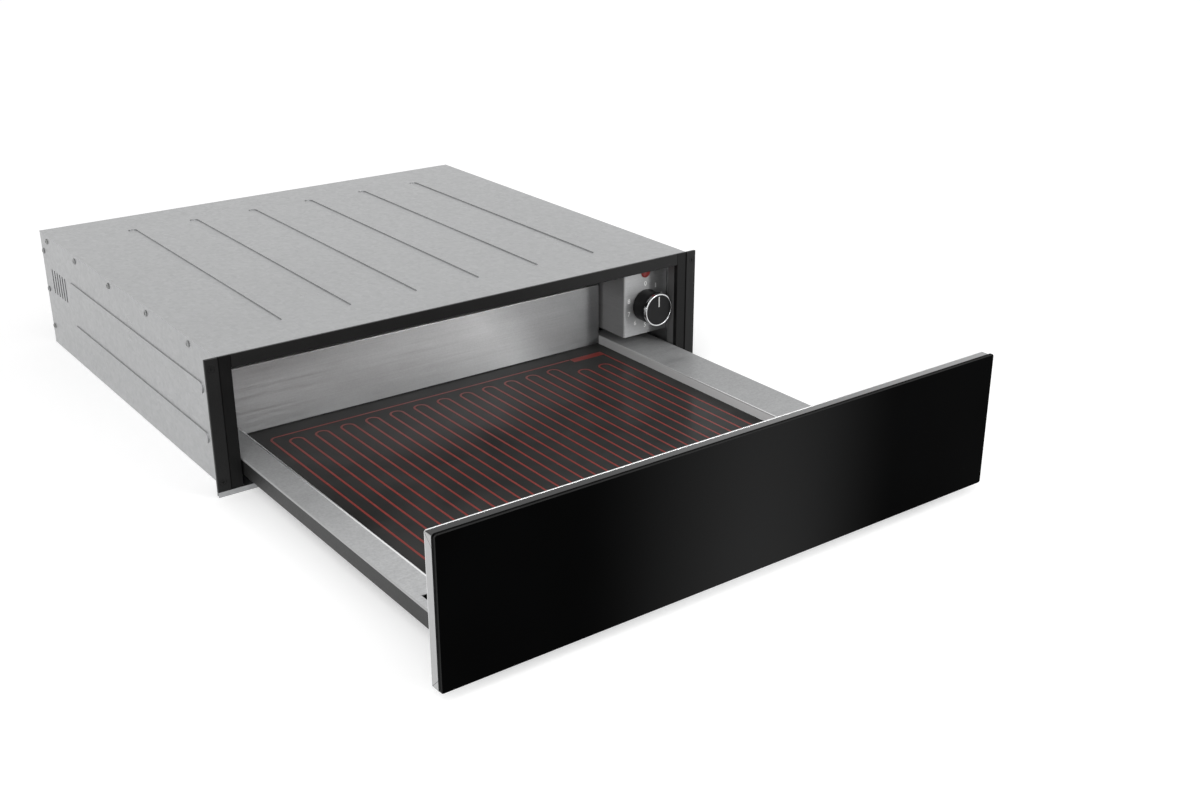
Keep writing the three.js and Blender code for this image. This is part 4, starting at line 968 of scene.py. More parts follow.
class Former(NodeTree):
    """A Geometry Nodes tree with named sizes, used once for each body and then baked to a plain mesh."""

    def __init__(self, name: str, sizes: dict[str, float], finish: Finish) -> None:
        """Starts a tree.

        Args:
            name: The tree's name.
            sizes: Its named inputs and their values, in metres, counts or seeds.
            finish: The finish set at its end.
        """
        super().__init__(bpy.data.node_groups.new(name, "GeometryNodeTree"))
        face = self.tree.interface
        face.new_socket("Geometry", in_out="OUTPUT", socket_type="NodeSocketGeometry")
        face.new_socket("Geometry", in_out="INPUT", socket_type="NodeSocketGeometry")
        kinds = {int: "NodeSocketInt", float: "NodeSocketFloat"}
        self.keys = {
            key: face.new_socket(key, in_out="INPUT", socket_type=kinds[type(value)]).identifier
            for key, value in sizes.items()
        }
        self.sizes = sizes
        self.finish = finish
        self.entry = self.add("NodeGroupInput")

    def size(self, key: str) -> bpy.types.NodeSocket:
        """The output of a named size."""
        return self.entry.outputs[key]

    def end(self, geometry: bpy.types.NodeSocket) -> None:
        """Realises the instances, sets the finish and closes the tree.

        Args:
            geometry: What the tree has made.
        """
        real = self.add("GeometryNodeRealizeInstances", {0: geometry}).outputs[0]
        dressed = {"Geometry": real, "Material": material_of(self.finish)}
        self.add("NodeGroupOutput", {0: self.add("GeometryNodeSetMaterial", dressed).outputs[0]})

    def bake(self, name: str, mesh: bpy.types.Mesh) -> bpy.types.Object:
        """Runs the tree on a mesh.

        Args:
            name: The piece's name.
            mesh: The path or the points, in metres.

        Returns:
            A plain object with the result.
        """
        holder = linked(name + "_form", mesh)
        form = holder.modifiers.new("form", "NODES")
        form.node_group = self.tree
        for key, value in self.sizes.items():
            form[self.keys[key]] = value
        baked = plain_mesh(holder)
        baked.name = name
        holder.modifiers.remove(form)
        bpy.data.objects.remove(holder)
        return linked(name, baked)


def path_of(name: str, line: Sequence[Point], closed: bool = False) -> bpy.types.Mesh:
    """A mesh of edges along a line.

    Args:
        name: The mesh's name.
        line: Its corners, in millimetres.
        closed: True where the line ends at its start.

    Returns:
        The new mesh.
    """
    last = len(line) - 1
    return mesh_of(name, line, [(i, i + 1) for i in range(last)] + ([(last, 0)] if closed else []))


def slim_lip(
    name: str, finish: Finish, radius: float, line: Sequence[Point], closed: bool = False
) -> bpy.types.Object:
    """A slim round lip along a line.

    Args:
        name: The piece's name.
        finish: Its finish.
        radius: Its radius, in millimetres.
        line: The corners of its middle, in millimetres.
        closed: True where it runs back to its start.

    Returns:
        The new object.
    """
    tree = Former(f"{name}_former", {"Radius": radius * MM, "Sides": 10}, finish)
    path = tree.add("GeometryNodeMeshToCurve", {"Mesh": tree.entry.outputs["Geometry"]})
    sizes = {"Resolution": tree.size("Sides"), "Radius": tree.size("Radius")}
    ring = tree.add("GeometryNodeCurvePrimitiveCircle", sizes)
    parts = {"Curve": path.outputs[0], "Profile Curve": ring.outputs[0], "Fill Caps": True}
    tree.end(tree.add("GeometryNodeCurveToMesh", parts).outputs[0])
    piece = tree.bake(name, path_of(f"{name}_path", line, closed))
    shade_smooth(piece.data, LIP_BEND)
    return piece


def fastener_former(name: str, finish: Finish, head: float, rise: float, drive: float, seed: int) -> Former:
    """A tree that sets one cross-recessed head on each point, along its aim, turned at random.

    Args:
        name: The tree's name.
        finish: The heads' finish.
        head: The head's diameter, in millimetres.
        rise: How far it stands out.
        drive: The width of one slot of its recess.
        seed: The seed of the random turn.

    Returns:
        The tree.
    """
    sizes = {"Head": head / 2 * MM, "Rise": rise * MM, "Drive": drive * MM, "Seed": seed}
    tree = Former(name, sizes, finish)
    radius, height, slot = tree.size("Head"), tree.size("Rise"), tree.size("Drive")
    top, long = (tree.maths(radius, share, "MULTIPLY") for share in (0.72, 1.1))  # of cone and slot
    deep, place = (tree.maths(height, share, "MULTIPLY") for share in (1.2, 1.02))  # of the slot
    raised = tree.vector(0.0, 0.0, place)
    sizes = {"Vertices": 20, "Radius Top": top, "Radius Bottom": radius, "Depth": height}
    cone = tree.add("GeometryNodeMeshCone", sizes)
    bars = tree.add("GeometryNodeJoinGeometry")
    for span in (tree.vector(long, slot, deep), tree.vector(slot, long, deep)):
        bar = tree.add("GeometryNodeMeshCube", {"Size": span})
        lifted = tree.add("GeometryNodeTransform", {0: bar.outputs["Mesh"], "Translation": raised})
        tree.tree.links.new(lifted.outputs[0], bars.inputs[0])
    cut = tree.add(
        "GeometryNodeMeshBoolean", {0: cone.outputs["Mesh"]}, operation="DIFFERENCE", solver="EXACT"
    )
    tree.tree.links.new(bars.outputs[0], cut.inputs[1])
    cut.inputs["Self Intersection"].default_value = True
    points = tree.add("GeometryNodeMeshToPoints", {"Mesh": tree.entry.outputs["Geometry"]})
    aim = tree.add("GeometryNodeInputNamedAttribute", {"Name": "aim"}, data_type="FLOAT_VECTOR")
    turn = tree.add("FunctionNodeAlignRotationToVector", {"Vector": aim.outputs["Attribute"]}, axis="Z")
    chance = tree.add(
        "FunctionNodeRandomValue", {2: 0.0, 3: math.pi, "Seed": tree.size("Seed")}, data_type="FLOAT"
    )
    spin = tree.add("FunctionNodeAxisAngleToRotation", {"Axis": (0, 0, 1), "Angle": chance.outputs[1]})
    both = tree.add(
        "FunctionNodeRotateRotation",
        {"Rotation": turn.outputs[0], "Rotate By": spin.outputs[0]},
        rotation_space="LOCAL",
    )
    heads = tree.add(
        "GeometryNodeInstanceOnPoints",
        {"Points": points.outputs[0], "Instance": cut.outputs["Mesh"], "Rotation": both.outputs[0]},
    )
    tree.end(heads.outputs[0])
    return tree


def points_with_aims(name: str, places: Iterable[tuple[Point, Point]]) -> bpy.types.Mesh:
    """A mesh of loose points, each with the way that it faces.

    Args:
        name: The mesh's name.
        places: Each point in millimetres, and its aim.

    Returns:
        The new mesh.
    """
    rows = list(places)
    mesh = mesh_of(name, [place for place, _ in rows])
    aims = mesh.attributes.new("aim", "FLOAT_VECTOR", "POINT")
    aims.data.foreach_set("vector", [c for _, aim in rows for c in aim])
    return mesh


@dataclass
class SubAssembly:
    """A group of pieces that is made and dressed together."""

    finishes: dict[str, Finish] = field(default_factory=dict)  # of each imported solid
    replaced: set[str] = field(default_factory=set)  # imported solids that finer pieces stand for

    def use(self, finish: Finish, *nodes: str) -> None:
        """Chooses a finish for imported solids."""
        self.finishes.update(dict.fromkeys(nodes, finish))

    def dress(self) -> None:
        """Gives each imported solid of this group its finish."""
        for node, finish in self.finishes.items():
            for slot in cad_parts[node].material_slots:
                slot.material = material_of(finish)
            LOG.info("%s: packed solid in %s", node, finish.name)

    def keep(
        self, piece: bpy.types.Object, body: Body, slot: str, finish: Finish, stands_for: Sequence[str] = ()
    ) -> bpy.types.Object:
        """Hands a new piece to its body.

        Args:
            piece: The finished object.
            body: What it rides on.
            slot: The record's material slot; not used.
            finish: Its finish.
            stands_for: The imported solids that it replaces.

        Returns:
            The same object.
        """
        piece.data.materials.clear()
        piece.data.materials.append(material_of(finish))
        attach(piece, body.value)
        if stands_for:
            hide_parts(*stands_for)
            self.replaced.update(stands_for)
        LOG.info("%s: %d faces in %s", piece.name, len(piece.data.polygons), finish.name)
        return piece

    def build(self) -> None:
        """Makes the group's own pieces."""


def sides(*names: str) -> list[str]:
    """Each name with _left and with _right."""
    return [f"{name}_{side}" for name in names for side in ("left", "right")]


def levels(name: str) -> list[str]:
    """A name for each side, with _lower and with _upper."""
    return [f"{node}_{level}" for node in sides(name) for level in ("lower", "upper")]


# ---------------------------------------------------------------- the appliance


@dataclass
class Casing(SubAssembly):
    """The galvanised casing with its black trims and crossbar."""

    half_width: float = 279.0
    screw_head: float = 7.0
    screw_rise: float = 0.9
    screw_drive: float = 0.9
    cover_screw_height: float = 131.5
    cover_screws: tuple[float, ...] = (18.0, 128.0, 238.0, 348.0, 446.0)
    rear_screw_heights: tuple[float, ...] = (22.0, 69.0, 116.0)
    rear_screw_place: float = 464.6
    screw_seed: int = 11

    def __post_init__(self) -> None:
        """Lists the finishes."""
        self.use(GALVANISED, "base_pan", "top_cover", "rear_panel", *sides("side_panel"))
        self.use(BLACK_PAINT, "front_crossbar")
        self.use(TRIM_PAINT, *sides("front_trim"))
        self.use(BLACK_PAINT, *levels("trim_screw"))
        self.use(BLACK_PLASTIC, "cable_gland")
        self.use(WHITE_PLASTIC, "mains_terminal")

    def build(self) -> None:
        """Makes the screws that hold the cover and the rear panel to the sides."""
        sizes = (self.screw_head, self.screw_rise, self.screw_drive)
        former = fastener_former("sheet_screws", PLATED, *sizes, self.screw_seed)
        middle = self.half_width + self.screw_rise / 2
        places = [
            ((sign * middle, y, z), (sign, 0.0, 0.0))
            for sign in (-1, 1)
            for y, z in [
                *((y, self.cover_screw_height) for y in self.cover_screws),
                *((self.rear_screw_place, z) for z in self.rear_screw_heights),
            ]
        ]
        screws = former.bake("casing_screws", points_with_aims("casing_screw_points", places))
        self.keep(screws, Body.CASING, "runner_steel", PLATED)


@dataclass
class Runners(SubAssembly):
    """The telescopic runners and the brackets that carry them."""

    def __post_init__(self) -> None:
        """Lists the finishes."""
        members = ("runner_cabinet_member", "runner_middle_member", "runner_drawer_member")
        self.use(PLATED, *sides(*members))
        self.use(GALVANISED, *sides("runner_bracket", "drawer_hanger", "front_bracket"))


@dataclass
class FrontPanel(SubAssembly):
    """The black glass front on its silver frame."""

    half_width: float = 297.5
    bottom: float = 9.0
    top: float = 140.0
    glass_front: float = -471.6
    glass_back: float = -468.0
    glass_corner: float = 2.5
    arris: float = 0.45
    bevel: float = 0.8
    bevel_proud: float = 0.015
    bevel_depth: float = 0.2  # how far the ground edge's own body reaches in
    frame_top: float = 138.3
    frame_front: float = -467.4
    frame_back: float = -458.4
    frame_corner: float = 1.5
    edge_radius: float = 0.7
    edge_proud: float = 0.35
    mitre_width: float = 0.3
    mitre_slant: float = 0.42  # the same, measured upright
    mitre_proud: float = 0.02
    mitre_inset: float = 0.6  # from the frame's upper and lower side
    mitre_end: float = 0.3  # from its rear edge

    def __post_init__(self) -> None:
        """Lists the finishes."""
        self.use(BLACK_RUBBER, "glass_bond")
        self.use(FRAME_SATIN, "front_frame")
        self.use(STEEL_ACROSS, "front_inner_panel")
        self.use(BLACK_RUBBER, *levels("buffer"))

    def outline(self, corner: float) -> list[tuple[float, float, float, float]]:
        """Sets out the glass's outline.

        Args:
            corner: The radius of its corners.

        Returns:
            For each point its corner's centre, and the way out from it.
        """
        points: list[tuple[float, float, float, float]] = []
        for u, v, start in CORNERS:
            cx = u * (self.half_width - corner)
            cz = (self.top - corner) if v > 0 else (self.bottom + corner)
            points += [(cx, cz, x, z) for x, z in arc(0, 0, 1, start, start + 90, 8)]
        return points

    def lofted(self, name: str, rings: Sequence[Pair], capped: bool) -> bpy.types.Object:
        """Joins copies of the glass's outline to one piece.

        Args:
            name: The piece's name.
            rings: The Y and the corner radius of each copy.
            capped: True for a solid slab; otherwise the last ring joins the first.

        Returns:
            The new object.
        """
        outline = self.outline(self.glass_corner)
        count, last = len(outline), len(rings) - 1
        points = [(cx + x * r, y, cz + z * r) for y, r in rings for cx, cz, x, z in outline]
        faces = [
            [a * count + i, a * count + (i + 1) % count, b * count + (i + 1) % count, b * count + i]
            for a, b in [(k, k + 1) for k in range(last)] + ([] if capped else [(last, 0)])
            for i in range(count)
        ]
        if capped:
            faces += [list(range(count)), [last * count + i for i in range(count)]]
        return made(name, points, faces, GLASS_BEND)

    def glass(self) -> bpy.types.Object:
        """The glass with its rounded corners, its bevel in front and its arris behind.

        Returns:
            The new object.
        """
        corner = self.glass_corner
        rings = [(self.glass_front, corner - self.bevel), (self.glass_front + self.bevel, corner)]
        for offset, depth in arc(0, 0, self.arris, 0, 90, 4):
            rings.append((self.glass_back - self.arris + depth, corner - self.arris + offset))
        return self.lofted("front_glass_panel", rings, True)

    def ground_edge(self) -> bpy.types.Object:
        """The ground bevel round the glass's face, a hair proud of it.

        Returns:
            The new object.
        """
        corner, proud, front = self.glass_corner, self.bevel_proud, self.glass_front
        outer = [(front - proud, corner - self.bevel), (front + self.bevel, corner + proud)]
        inner = [(front + self.bevel, corner - self.bevel_depth)]
        inner.append((front + self.bevel_depth, corner - self.bevel))
        return self.lofted("front_glass_edge", outer + inner, False)

    def frame_edge(self) -> bpy.types.Object:
        """The frame's rear edge, rolled to a slim lip and coloured bright all round as a painted highlight.

        Returns:
            The new object.
        """
        radius, proud = self.edge_radius, self.edge_proud
        right, low, high = self.half_width - radius, self.bottom + radius, self.frame_top - radius + proud
        corner = self.frame_corner
        y = self.frame_back + proud
        line: list[Point] = []
        for u, v, start in CORNERS:
            cz = high - corner if v > 0 else low + corner
            line += [(x, y, z) for x, z in arc(u * (right - corner), cz, corner, start, start + 90, 6)]
        return slim_lip("frame_highlight_lip", FRAME_HIGHLIGHT, radius, line, True)

    def mitres(self) -> bpy.types.Object:
        """The hairline seams where the frame's corners meet, on its two ends.

        Returns:
            The new object.
        """
        points: list[Point] = []
        faces: list[list[int]] = []
        front, back = self.frame_front, self.frame_back - self.mitre_end
        far, near = self.frame_back - self.frame_front, self.mitre_end
        for sign in (-1, 1):
            out = sign * (self.half_width + self.mitre_proud)
            inn = sign * (self.half_width - self.mitre_width)
            for edge, way in ((self.frame_top - self.mitre_inset, -1), (self.bottom + self.mitre_inset, 1)):
                ends = [
                    (front, edge + way * far), (back, edge + way * near),
                    (back, edge + way * (near + self.mitre_slant)),
                    (front, edge + way * (far + self.mitre_slant)),
                ]
                faces += box_faces(len(points))
                points += [(x, y, z) for x in (out, inn) for y, z in ends]
        return made("frame_mitre_seams", points, faces)

    def build(self) -> None:
        """Makes the glass, the edge lip with its painted highlight and the mitre seams."""
        self.keep(self.glass(), Body.DRAWER, "black_glass", FRONT_GLASS, ["front_glass"])
        self.keep(self.ground_edge(), Body.DRAWER, "black_glass", GLASS_EDGE)
        self.keep(self.frame_edge(), Body.DRAWER, "silver_frame", FRAME_HIGHLIGHT)
        self.keep(self.mitres(), Body.DRAWER, "black_paint", BLACK_PAINT)


@dataclass
class DrawerBox(SubAssembly):
    """The stainless rails and back wall of the drawer."""

    rail_top: float = 31.2
    rail_inner: Pair = (-235.4, 213.0)  # the left and right rail's faces towards the food
    bend_radius: float = 1.2
    lip_ends: tuple[Pair, Pair] = ((-457.3, 12.0), (-428.0, -140.0))  # on the left and on the right
    lip_radius: Pair = (1.0, 0.6)
    lip_proud: Pair = (0.65, 0.26)
    lip_tilt: float = 10.0  # from the top of the bend, in degrees

    def __post_init__(self) -> None:
        """Lists the finishes."""
        self.use(STEEL_RAIL, *sides("side_rail"))
        self.use(STEEL_WALL, "back_wall")
        self.use(STEEL_ACROSS, "front_cross_rail", *sides("floor_ledge"))

    def lip(self, number: int) -> bpy.types.Object:
        """A slim lip along a rail's inner bend, coloured bright as a painted highlight.

        Args:
            number: 0 for the left rail, 1 for the right one.

        Returns:
            The new object.
        """
        way = (1, -1)[number]
        radius = self.lip_radius[number]
        reach = self.bend_radius - radius + self.lip_proud[number]
        tilt = math.radians(self.lip_tilt)
        x = self.rail_inner[number] - way * (self.bend_radius - reach * math.sin(tilt))
        z = self.rail_top - self.bend_radius + reach * math.cos(tilt)
        line = [(x, y, z) for y in self.lip_ends[number]]
        return slim_lip(sides("rail_bright_lip")[number], STEEL_EDGE_HIGHLIGHT, radius, line)

    def build(self) -> None:
        """Makes the lips on the rails."""
        for number in range(2):
            self.keep(self.lip(number), Body.DRAWER, "brushed_steel", STEEL_EDGE_HIGHLIGHT)


@dataclass
class HeatedFloor(SubAssembly):
    """The dark glass floor with its red heating line, and what lies under it."""

    frame_rear: float = -458.4  # the drawer's own front, which the line is set out from
    wall_front: float = 24.3
    surface: float = 21.2
    loops: int = 14
    pitch: float = 28.3
    middle: float = -9.0
    line_width: float = 2.3
    line_rise: float = 0.05
    spacing: float = 14.2
    loop_end: float = 36.5
    short_loops: int = 2
    short_loop_end: float = 56.5
    rear_line: float = 24.0
    front_turn: float = 20.0
    turn_share: float = 0.995  # of a leg's distance, so that the arcs of one turn don't meet
    turn_steps: int = 7
    pad: Pair = (43.0, 10.0)
    pad_rise: float = 0.06
    seal_radius: float = 0.8
    seal_place: Pair = (0.4, 0.3)  # shares of that radius, before the wall and above the glass
    seal_ends: Pair = (-234.4, 212.0)

    def __post_init__(self) -> None:
        """Lists the finishes."""
        self.use(FLOOR_GLASS, "glass_floor")
        self.use(RED_TRACE, "heating_element")
        self.use(GALVANISED, "heater_pan")
        self.use(WOOL, "insulation_pad")
        self.use(CERAMIC, "temperature_limiter", "heater_terminal")
        self.use(BLACK_PLASTIC, "lead_clamp")

    def line(self) -> list[Pair]:
        """Sets out the heating line's middle, from the pad to the front, over and back to the pad.

        Returns:
            The corners, in millimetres.
        """
        leg = self.pitch / 4
        reach = (self.loops - 1) * self.pitch / 2
        last, first = self.middle + reach, self.middle - reach
        front, rear = self.frame_rear + self.front_turn, self.wall_front - self.rear_line
        right = last + leg + self.spacing
        corners = [(right, rear - self.pad[1] / 2), (right, front)]
        for i in range(self.loops):
            x = last - i * self.pitch
            end = self.wall_front - (self.short_loop_end if i < self.short_loops else self.loop_end)
            corners += [(x + leg, front), (x + leg, end), (x - leg, end), (x - leg, front)]
        left = first - leg - self.spacing
        corners += [(left, front), (left, rear), (right - self.pad[0], rear)]
        return corners

    def former(self) -> Former:
        """The tree that bends a path's corners and lays a flat line along it.

        Returns:
            The new tree.
        """
        sizes = {
            "Width": self.line_width * MM, "Rise": 2 * self.line_rise * MM,
            "Bend": self.pitch / 4 * self.turn_share * MM, "Steps": self.turn_steps,
        }
        tree = Former("heating_line", sizes, RED_TRACE)
        path = tree.add("GeometryNodeMeshToCurve", {"Mesh": tree.entry.outputs["Geometry"]})
        bends = {"Curve": path.outputs[0], "Radius": tree.size("Bend"), "Count": tree.size("Steps")}
        bent = tree.add("GeometryNodeFilletCurve", bends, mode="POLY")
        level = tree.add("GeometryNodeSetCurveNormal", {"Curve": bent.outputs[0]}, mode="Z_UP")
        section = tree.add(
            "GeometryNodeCurvePrimitiveQuadrilateral",
            {"Width": tree.size("Width"), "Height": tree.size("Rise")},
        )
        swept = tree.add(
            "GeometryNodeCurveToMesh",
            {"Curve": level.outputs[0], "Profile Curve": section.outputs[0], "Fill Caps": True},
        )
        flat = tree.add("GeometryNodeSetShadeSmooth", {"Geometry": swept.outputs[0], "Shade Smooth": False})
        tree.end(flat.outputs[0])
        return tree

    def contact_pad(self) -> bpy.types.Object:
        """The solid terminal pad at the rear right, which both ends of the line run into.

        Returns:
            The new object.
        """
        long, wide = self.pad
        right = self.line()[0][0] + self.line_width / 2
        rear = self.wall_front - self.rear_line + self.line_width / 2
        low, high = self.surface - self.line_rise, self.surface + self.pad_rise
        corners = [(right - long, rear - wide), (right, rear - wide), (right, rear), (right - long, rear)]
        points = [(x, y, z) for z in (low, high) for x, y in corners]
        return made("heating_pad", points, box_faces())

    def seal(self) -> bpy.types.Object:
        """The black bead that seals the glass to the foot of the wall.

        Returns:
            The new object.
        """
        before, above = (self.seal_radius * share for share in self.seal_place)
        line = [(x, self.wall_front - before, self.surface + above) for x in self.seal_ends]
        return slim_lip("wall_foot_seal", BLACK_RUBBER, self.seal_radius, line)

    def build(self) -> None:
        """Makes the visible heating line, its pad and the seal."""
        path = path_of("heating_path", [(x, y, self.surface) for x, y in self.line()])
        traces = self.former().bake("heating_traces", path)
        self.keep(traces, Body.DRAWER, "heating_foil", RED_TRACE)
        self.keep(self.contact_pad(), Body.DRAWER, "heating_foil", RED_TRACE)
        self.keep(self.seal(), Body.DRAWER, "black_rubber", BLACK_RUBBER)


@dataclass
class ControlUnit(SubAssembly):
    """The control box with its knob, dial and indicator."""

    axis_x: float = 246.6
    axis_z: float = 74.7
    box_front: float = -19.6
    knob_front: float = -45.1
    knob_back: float = -20.1
    knob_radius: float = 19.0
    knob_bore: Pair = (3.1, 12.4)  # its radius and its depth
    knob_dish: tuple[Pair, ...] = ((0.0, 0.8), (0.5, 0.74), (0.8, 0.62))  # share of the face, and depth
    knob_edge: float = 0.5  # how far the face and the back are rounded
    seat_edge: float = 0.4  # how far the step for the ring is rounded
    seat_inset: float = 0.5
    skirt_length: float = 6.0
    skirt_in: Pair = (0.35, 0.7)  # how far it narrows up to that length, and up to the back
    ring_width: float = 1.8
    ring_length: float = 4.0
    ring_gap: float = 0.05
    ring_lips: Pair = (0.6, 0.42)  # how far it is rounded outside and inside
    round_steps: int = 120
    lens_z: float = 113.4
    lens_radius: float = 6.5
    lens_dome: Pair = (0.94, 1.9)  # share of the radius, and height over the rim
    lens_rim: float = 0.5
    lens_gap: float = 0.02
    lens_stem: Pair = (1.0, 2.9)  # how much narrower it is, and its depth
    lens_steps: int = 64
    digit_height: float = 5.6
    digit_font: float = 1.35  # the font's size over a digit's height
    digit_radius: float = 24.8
    digit_step: float = 36.0
    digit_count: int = 9
    digit_curve: int = 4  # steps of each curve in a digit's outline
    print_rise: float = 0.05
    print_bold: float = 0.14

    def __post_init__(self) -> None:
        """Lists the finishes."""
        self.use(STEEL_BOX, "control_box")
        self.use(BLACK_PLASTIC, "thermostat_body")
        self.use(PLATED, "thermostat_shaft")
        self.use(WHITE_PLASTIC, "indicator_lamp")
        self.use(POINTER_INK, "knob_pointer")

    def knob(self) -> bpy.types.Object:
        """The knob, with a dished face, a stepped seat for the ring and a skirt that narrows to the back.

        Returns:
            The new object.
        """
        radius, edge, back = self.knob_radius, self.knob_edge, self.knob_back
        face, step = self.knob_front, self.knob_front + self.ring_length
        inner = radius - self.ring_width
        middle, rear = self.skirt_in
        bore, depth = self.knob_bore
        profile = [(inner * share, face + dip) for share, dip in self.knob_dish]
        profile += arc(inner - edge, face + 2 * edge, edge, -90, 0, 4)
        profile += [(inner, step)]
        profile += arc(radius - self.seat_inset, step + self.seat_edge, self.seat_edge, -90, 0, 4)
        profile += [(radius - middle, step + self.skirt_length), (radius - rear, back - 1.2 * edge)]
        profile += arc(radius - rear - edge, back - edge, edge, 0, 90, 4)
        profile += [(bore, back), (bore, back - depth), (0.0, back - depth)]
        return turned("knob_grip", profile, self.axis_x, self.axis_z, self.round_steps)

    def ring(self) -> bpy.types.Object:
        """The bright ring with a rounded lip.

        Returns:
            The new object.
        """
        outer, inner = self.knob_radius, self.knob_radius - self.ring_width + self.ring_gap
        face, end = self.knob_front, self.knob_front + self.ring_length - self.ring_gap
        outside, inside = self.ring_lips
        profile = [(inner, end)]
        profile += arc(inner + inside, face + inside, inside, 180, 270, 5)
        profile += arc(outer - outside, face + outside, outside, -90, 0, 6)
        profile += [(outer, end), (inner, end)]
        return turned("knob_bright_ring", profile, self.axis_x, self.axis_z, self.round_steps)

    def lens(self) -> bpy.types.Object:
        """The domed lens with its rim and stem.

        Returns:
            The new object.
        """
        share, height = self.lens_dome
        narrower, depth = self.lens_stem
        radius, stem = self.lens_radius, self.lens_radius - narrower
        rim, seat, back = (self.box_front + way for way in (-self.lens_rim, -self.lens_gap, depth))
        angles = [math.radians(degrees) for degrees in range(12, 91, 13)]
        profile = [(0.0, rim - height)]
        profile += [(radius * share * math.sin(a), rim - height * math.cos(a)) for a in angles]
        profile += [(radius, rim), (radius, seat), (stem, seat), (stem, back), (0.0, back)]
        return turned("indicator_dome", profile, self.axis_x, self.lens_z, self.lens_steps)

    def dial(self) -> bpy.types.Object:
        """The numbers printed round the knob, clockwise from 0 at the top.

        Returns:
            The new object.
        """
        digits: list[bpy.types.Mesh] = []
        for number in range(self.digit_count):
            curve = bpy.data.curves.new(f"digit_{number}", "FONT")
            curve.body = str(number)
            curve.size = self.digit_height * self.digit_font * MM
            curve.extrude = self.print_rise * MM
            curve.offset = self.print_bold * MM
            curve.resolution_u = self.digit_curve
            curve.align_x, curve.align_y = "CENTER", "CENTER"
            holder = linked(curve.name, curve)
            digit = plain_mesh(holder)
            bpy.data.objects.remove(holder)
            angle = math.radians(number * self.digit_step)
            place = Vector((
                self.axis_x + self.digit_radius * math.sin(angle),
                self.box_front - self.print_rise / 2,
                self.axis_z + self.digit_radius * math.cos(angle),
            )) * MM
            digit.transform(Matrix.Translation(place) @ Matrix.Rotation(math.pi / 2, 4, "X"))
            digits.append(digit)
        numbers = bpy.data.meshes.new("dial_numbers")
        weld(numbers, digits, DIGIT_WELD)
        return linked("dial_numbers", numbers)

    def build(self) -> None:
        """Makes the knob, its ring, the lens and the dial."""
        self.keep(self.knob(), Body.KNOB, "black_plastic", BLACK_PLASTIC, ["knob"])
        self.keep(self.ring(), Body.KNOB, "chrome", BRIGHT_CHROME, ["knob_ring"])
        self.keep(self.lens(), Body.CASING, "red_lens", RED_LENS, ["indicator_lens"])
        self.keep(self.dial(), Body.CASING, "white_plastic", DIAL_INK)


@dataclass
class PushCatch(SubAssembly):
    """The push catch behind the drawer."""

    def __post_init__(self) -> None:
        """Lists the finishes."""
        self.use(BLACK_PLASTIC, "catch_body")
        self.use(WHITE_PLASTIC, "catch_plunger")
        self.use(GALVANISED, "catch_striker")


# ---------------------------------------------------------------- the studio


def area_light(name: str, size: Pair, energy: float) -> bpy.types.Light:
    """A flat light.

    Args:
        name: Its name.
        size: Its width and height, in metres.
        energy: Its power, in watts.

    Returns:
        The new light.
    """
    light = bpy.data.lights.new(name, "AREA")
    light.shape = "RECTANGLE"
    light.size, light.size_y = size
    light.energy = energy
    return light


@dataclass(frozen=True)
class Lamp:
    """A lamp that faces the middle of the object's floor."""

    name: str
    azimuth: float  # in degrees from +X towards +Y
    height: float  # in degrees above the floor
    away: float  # in metres

    def light(self) -> bpy.types.Light:
        """Makes its light."""
        raise NotImplementedError

    def hang(self) -> None:
        """Puts it in its place and aims it."""
        around, up = math.radians(self.azimuth), math.radians(self.height)
        toward = Vector((math.cos(around) * math.cos(up), math.sin(around) * math.cos(up), math.sin(up)))
        lamp = linked(self.name, self.light())
        lamp.rotation_euler = toward.to_track_quat("Z", "Y").to_euler()
        lamp.location = toward * self.away


@dataclass(frozen=True)
class Sun(Lamp):
    """A broad softbox, so far away that its light falls the same everywhere."""

    strength: float
    spread: float  # how wide it looks, in degrees

    def light(self) -> bpy.types.Light:
        """Makes its light.

        Returns:
            The new light.
        """
        light = bpy.data.lights.new(self.name, "SUN")
        light.energy, light.angle = self.strength, math.radians(self.spread)
        return light


@dataclass(frozen=True)
class Softbox(Lamp):
    """A softbox near the drawer."""

    size: Pair  # its width and height, in metres
    radiance: float  # how bright its face is, where white is 1

    def light(self) -> bpy.types.Light:
        """Makes its light."""
        wide, tall = self.size
        return area_light(self.name, self.size, self.radiance * math.pi * wide * tall)


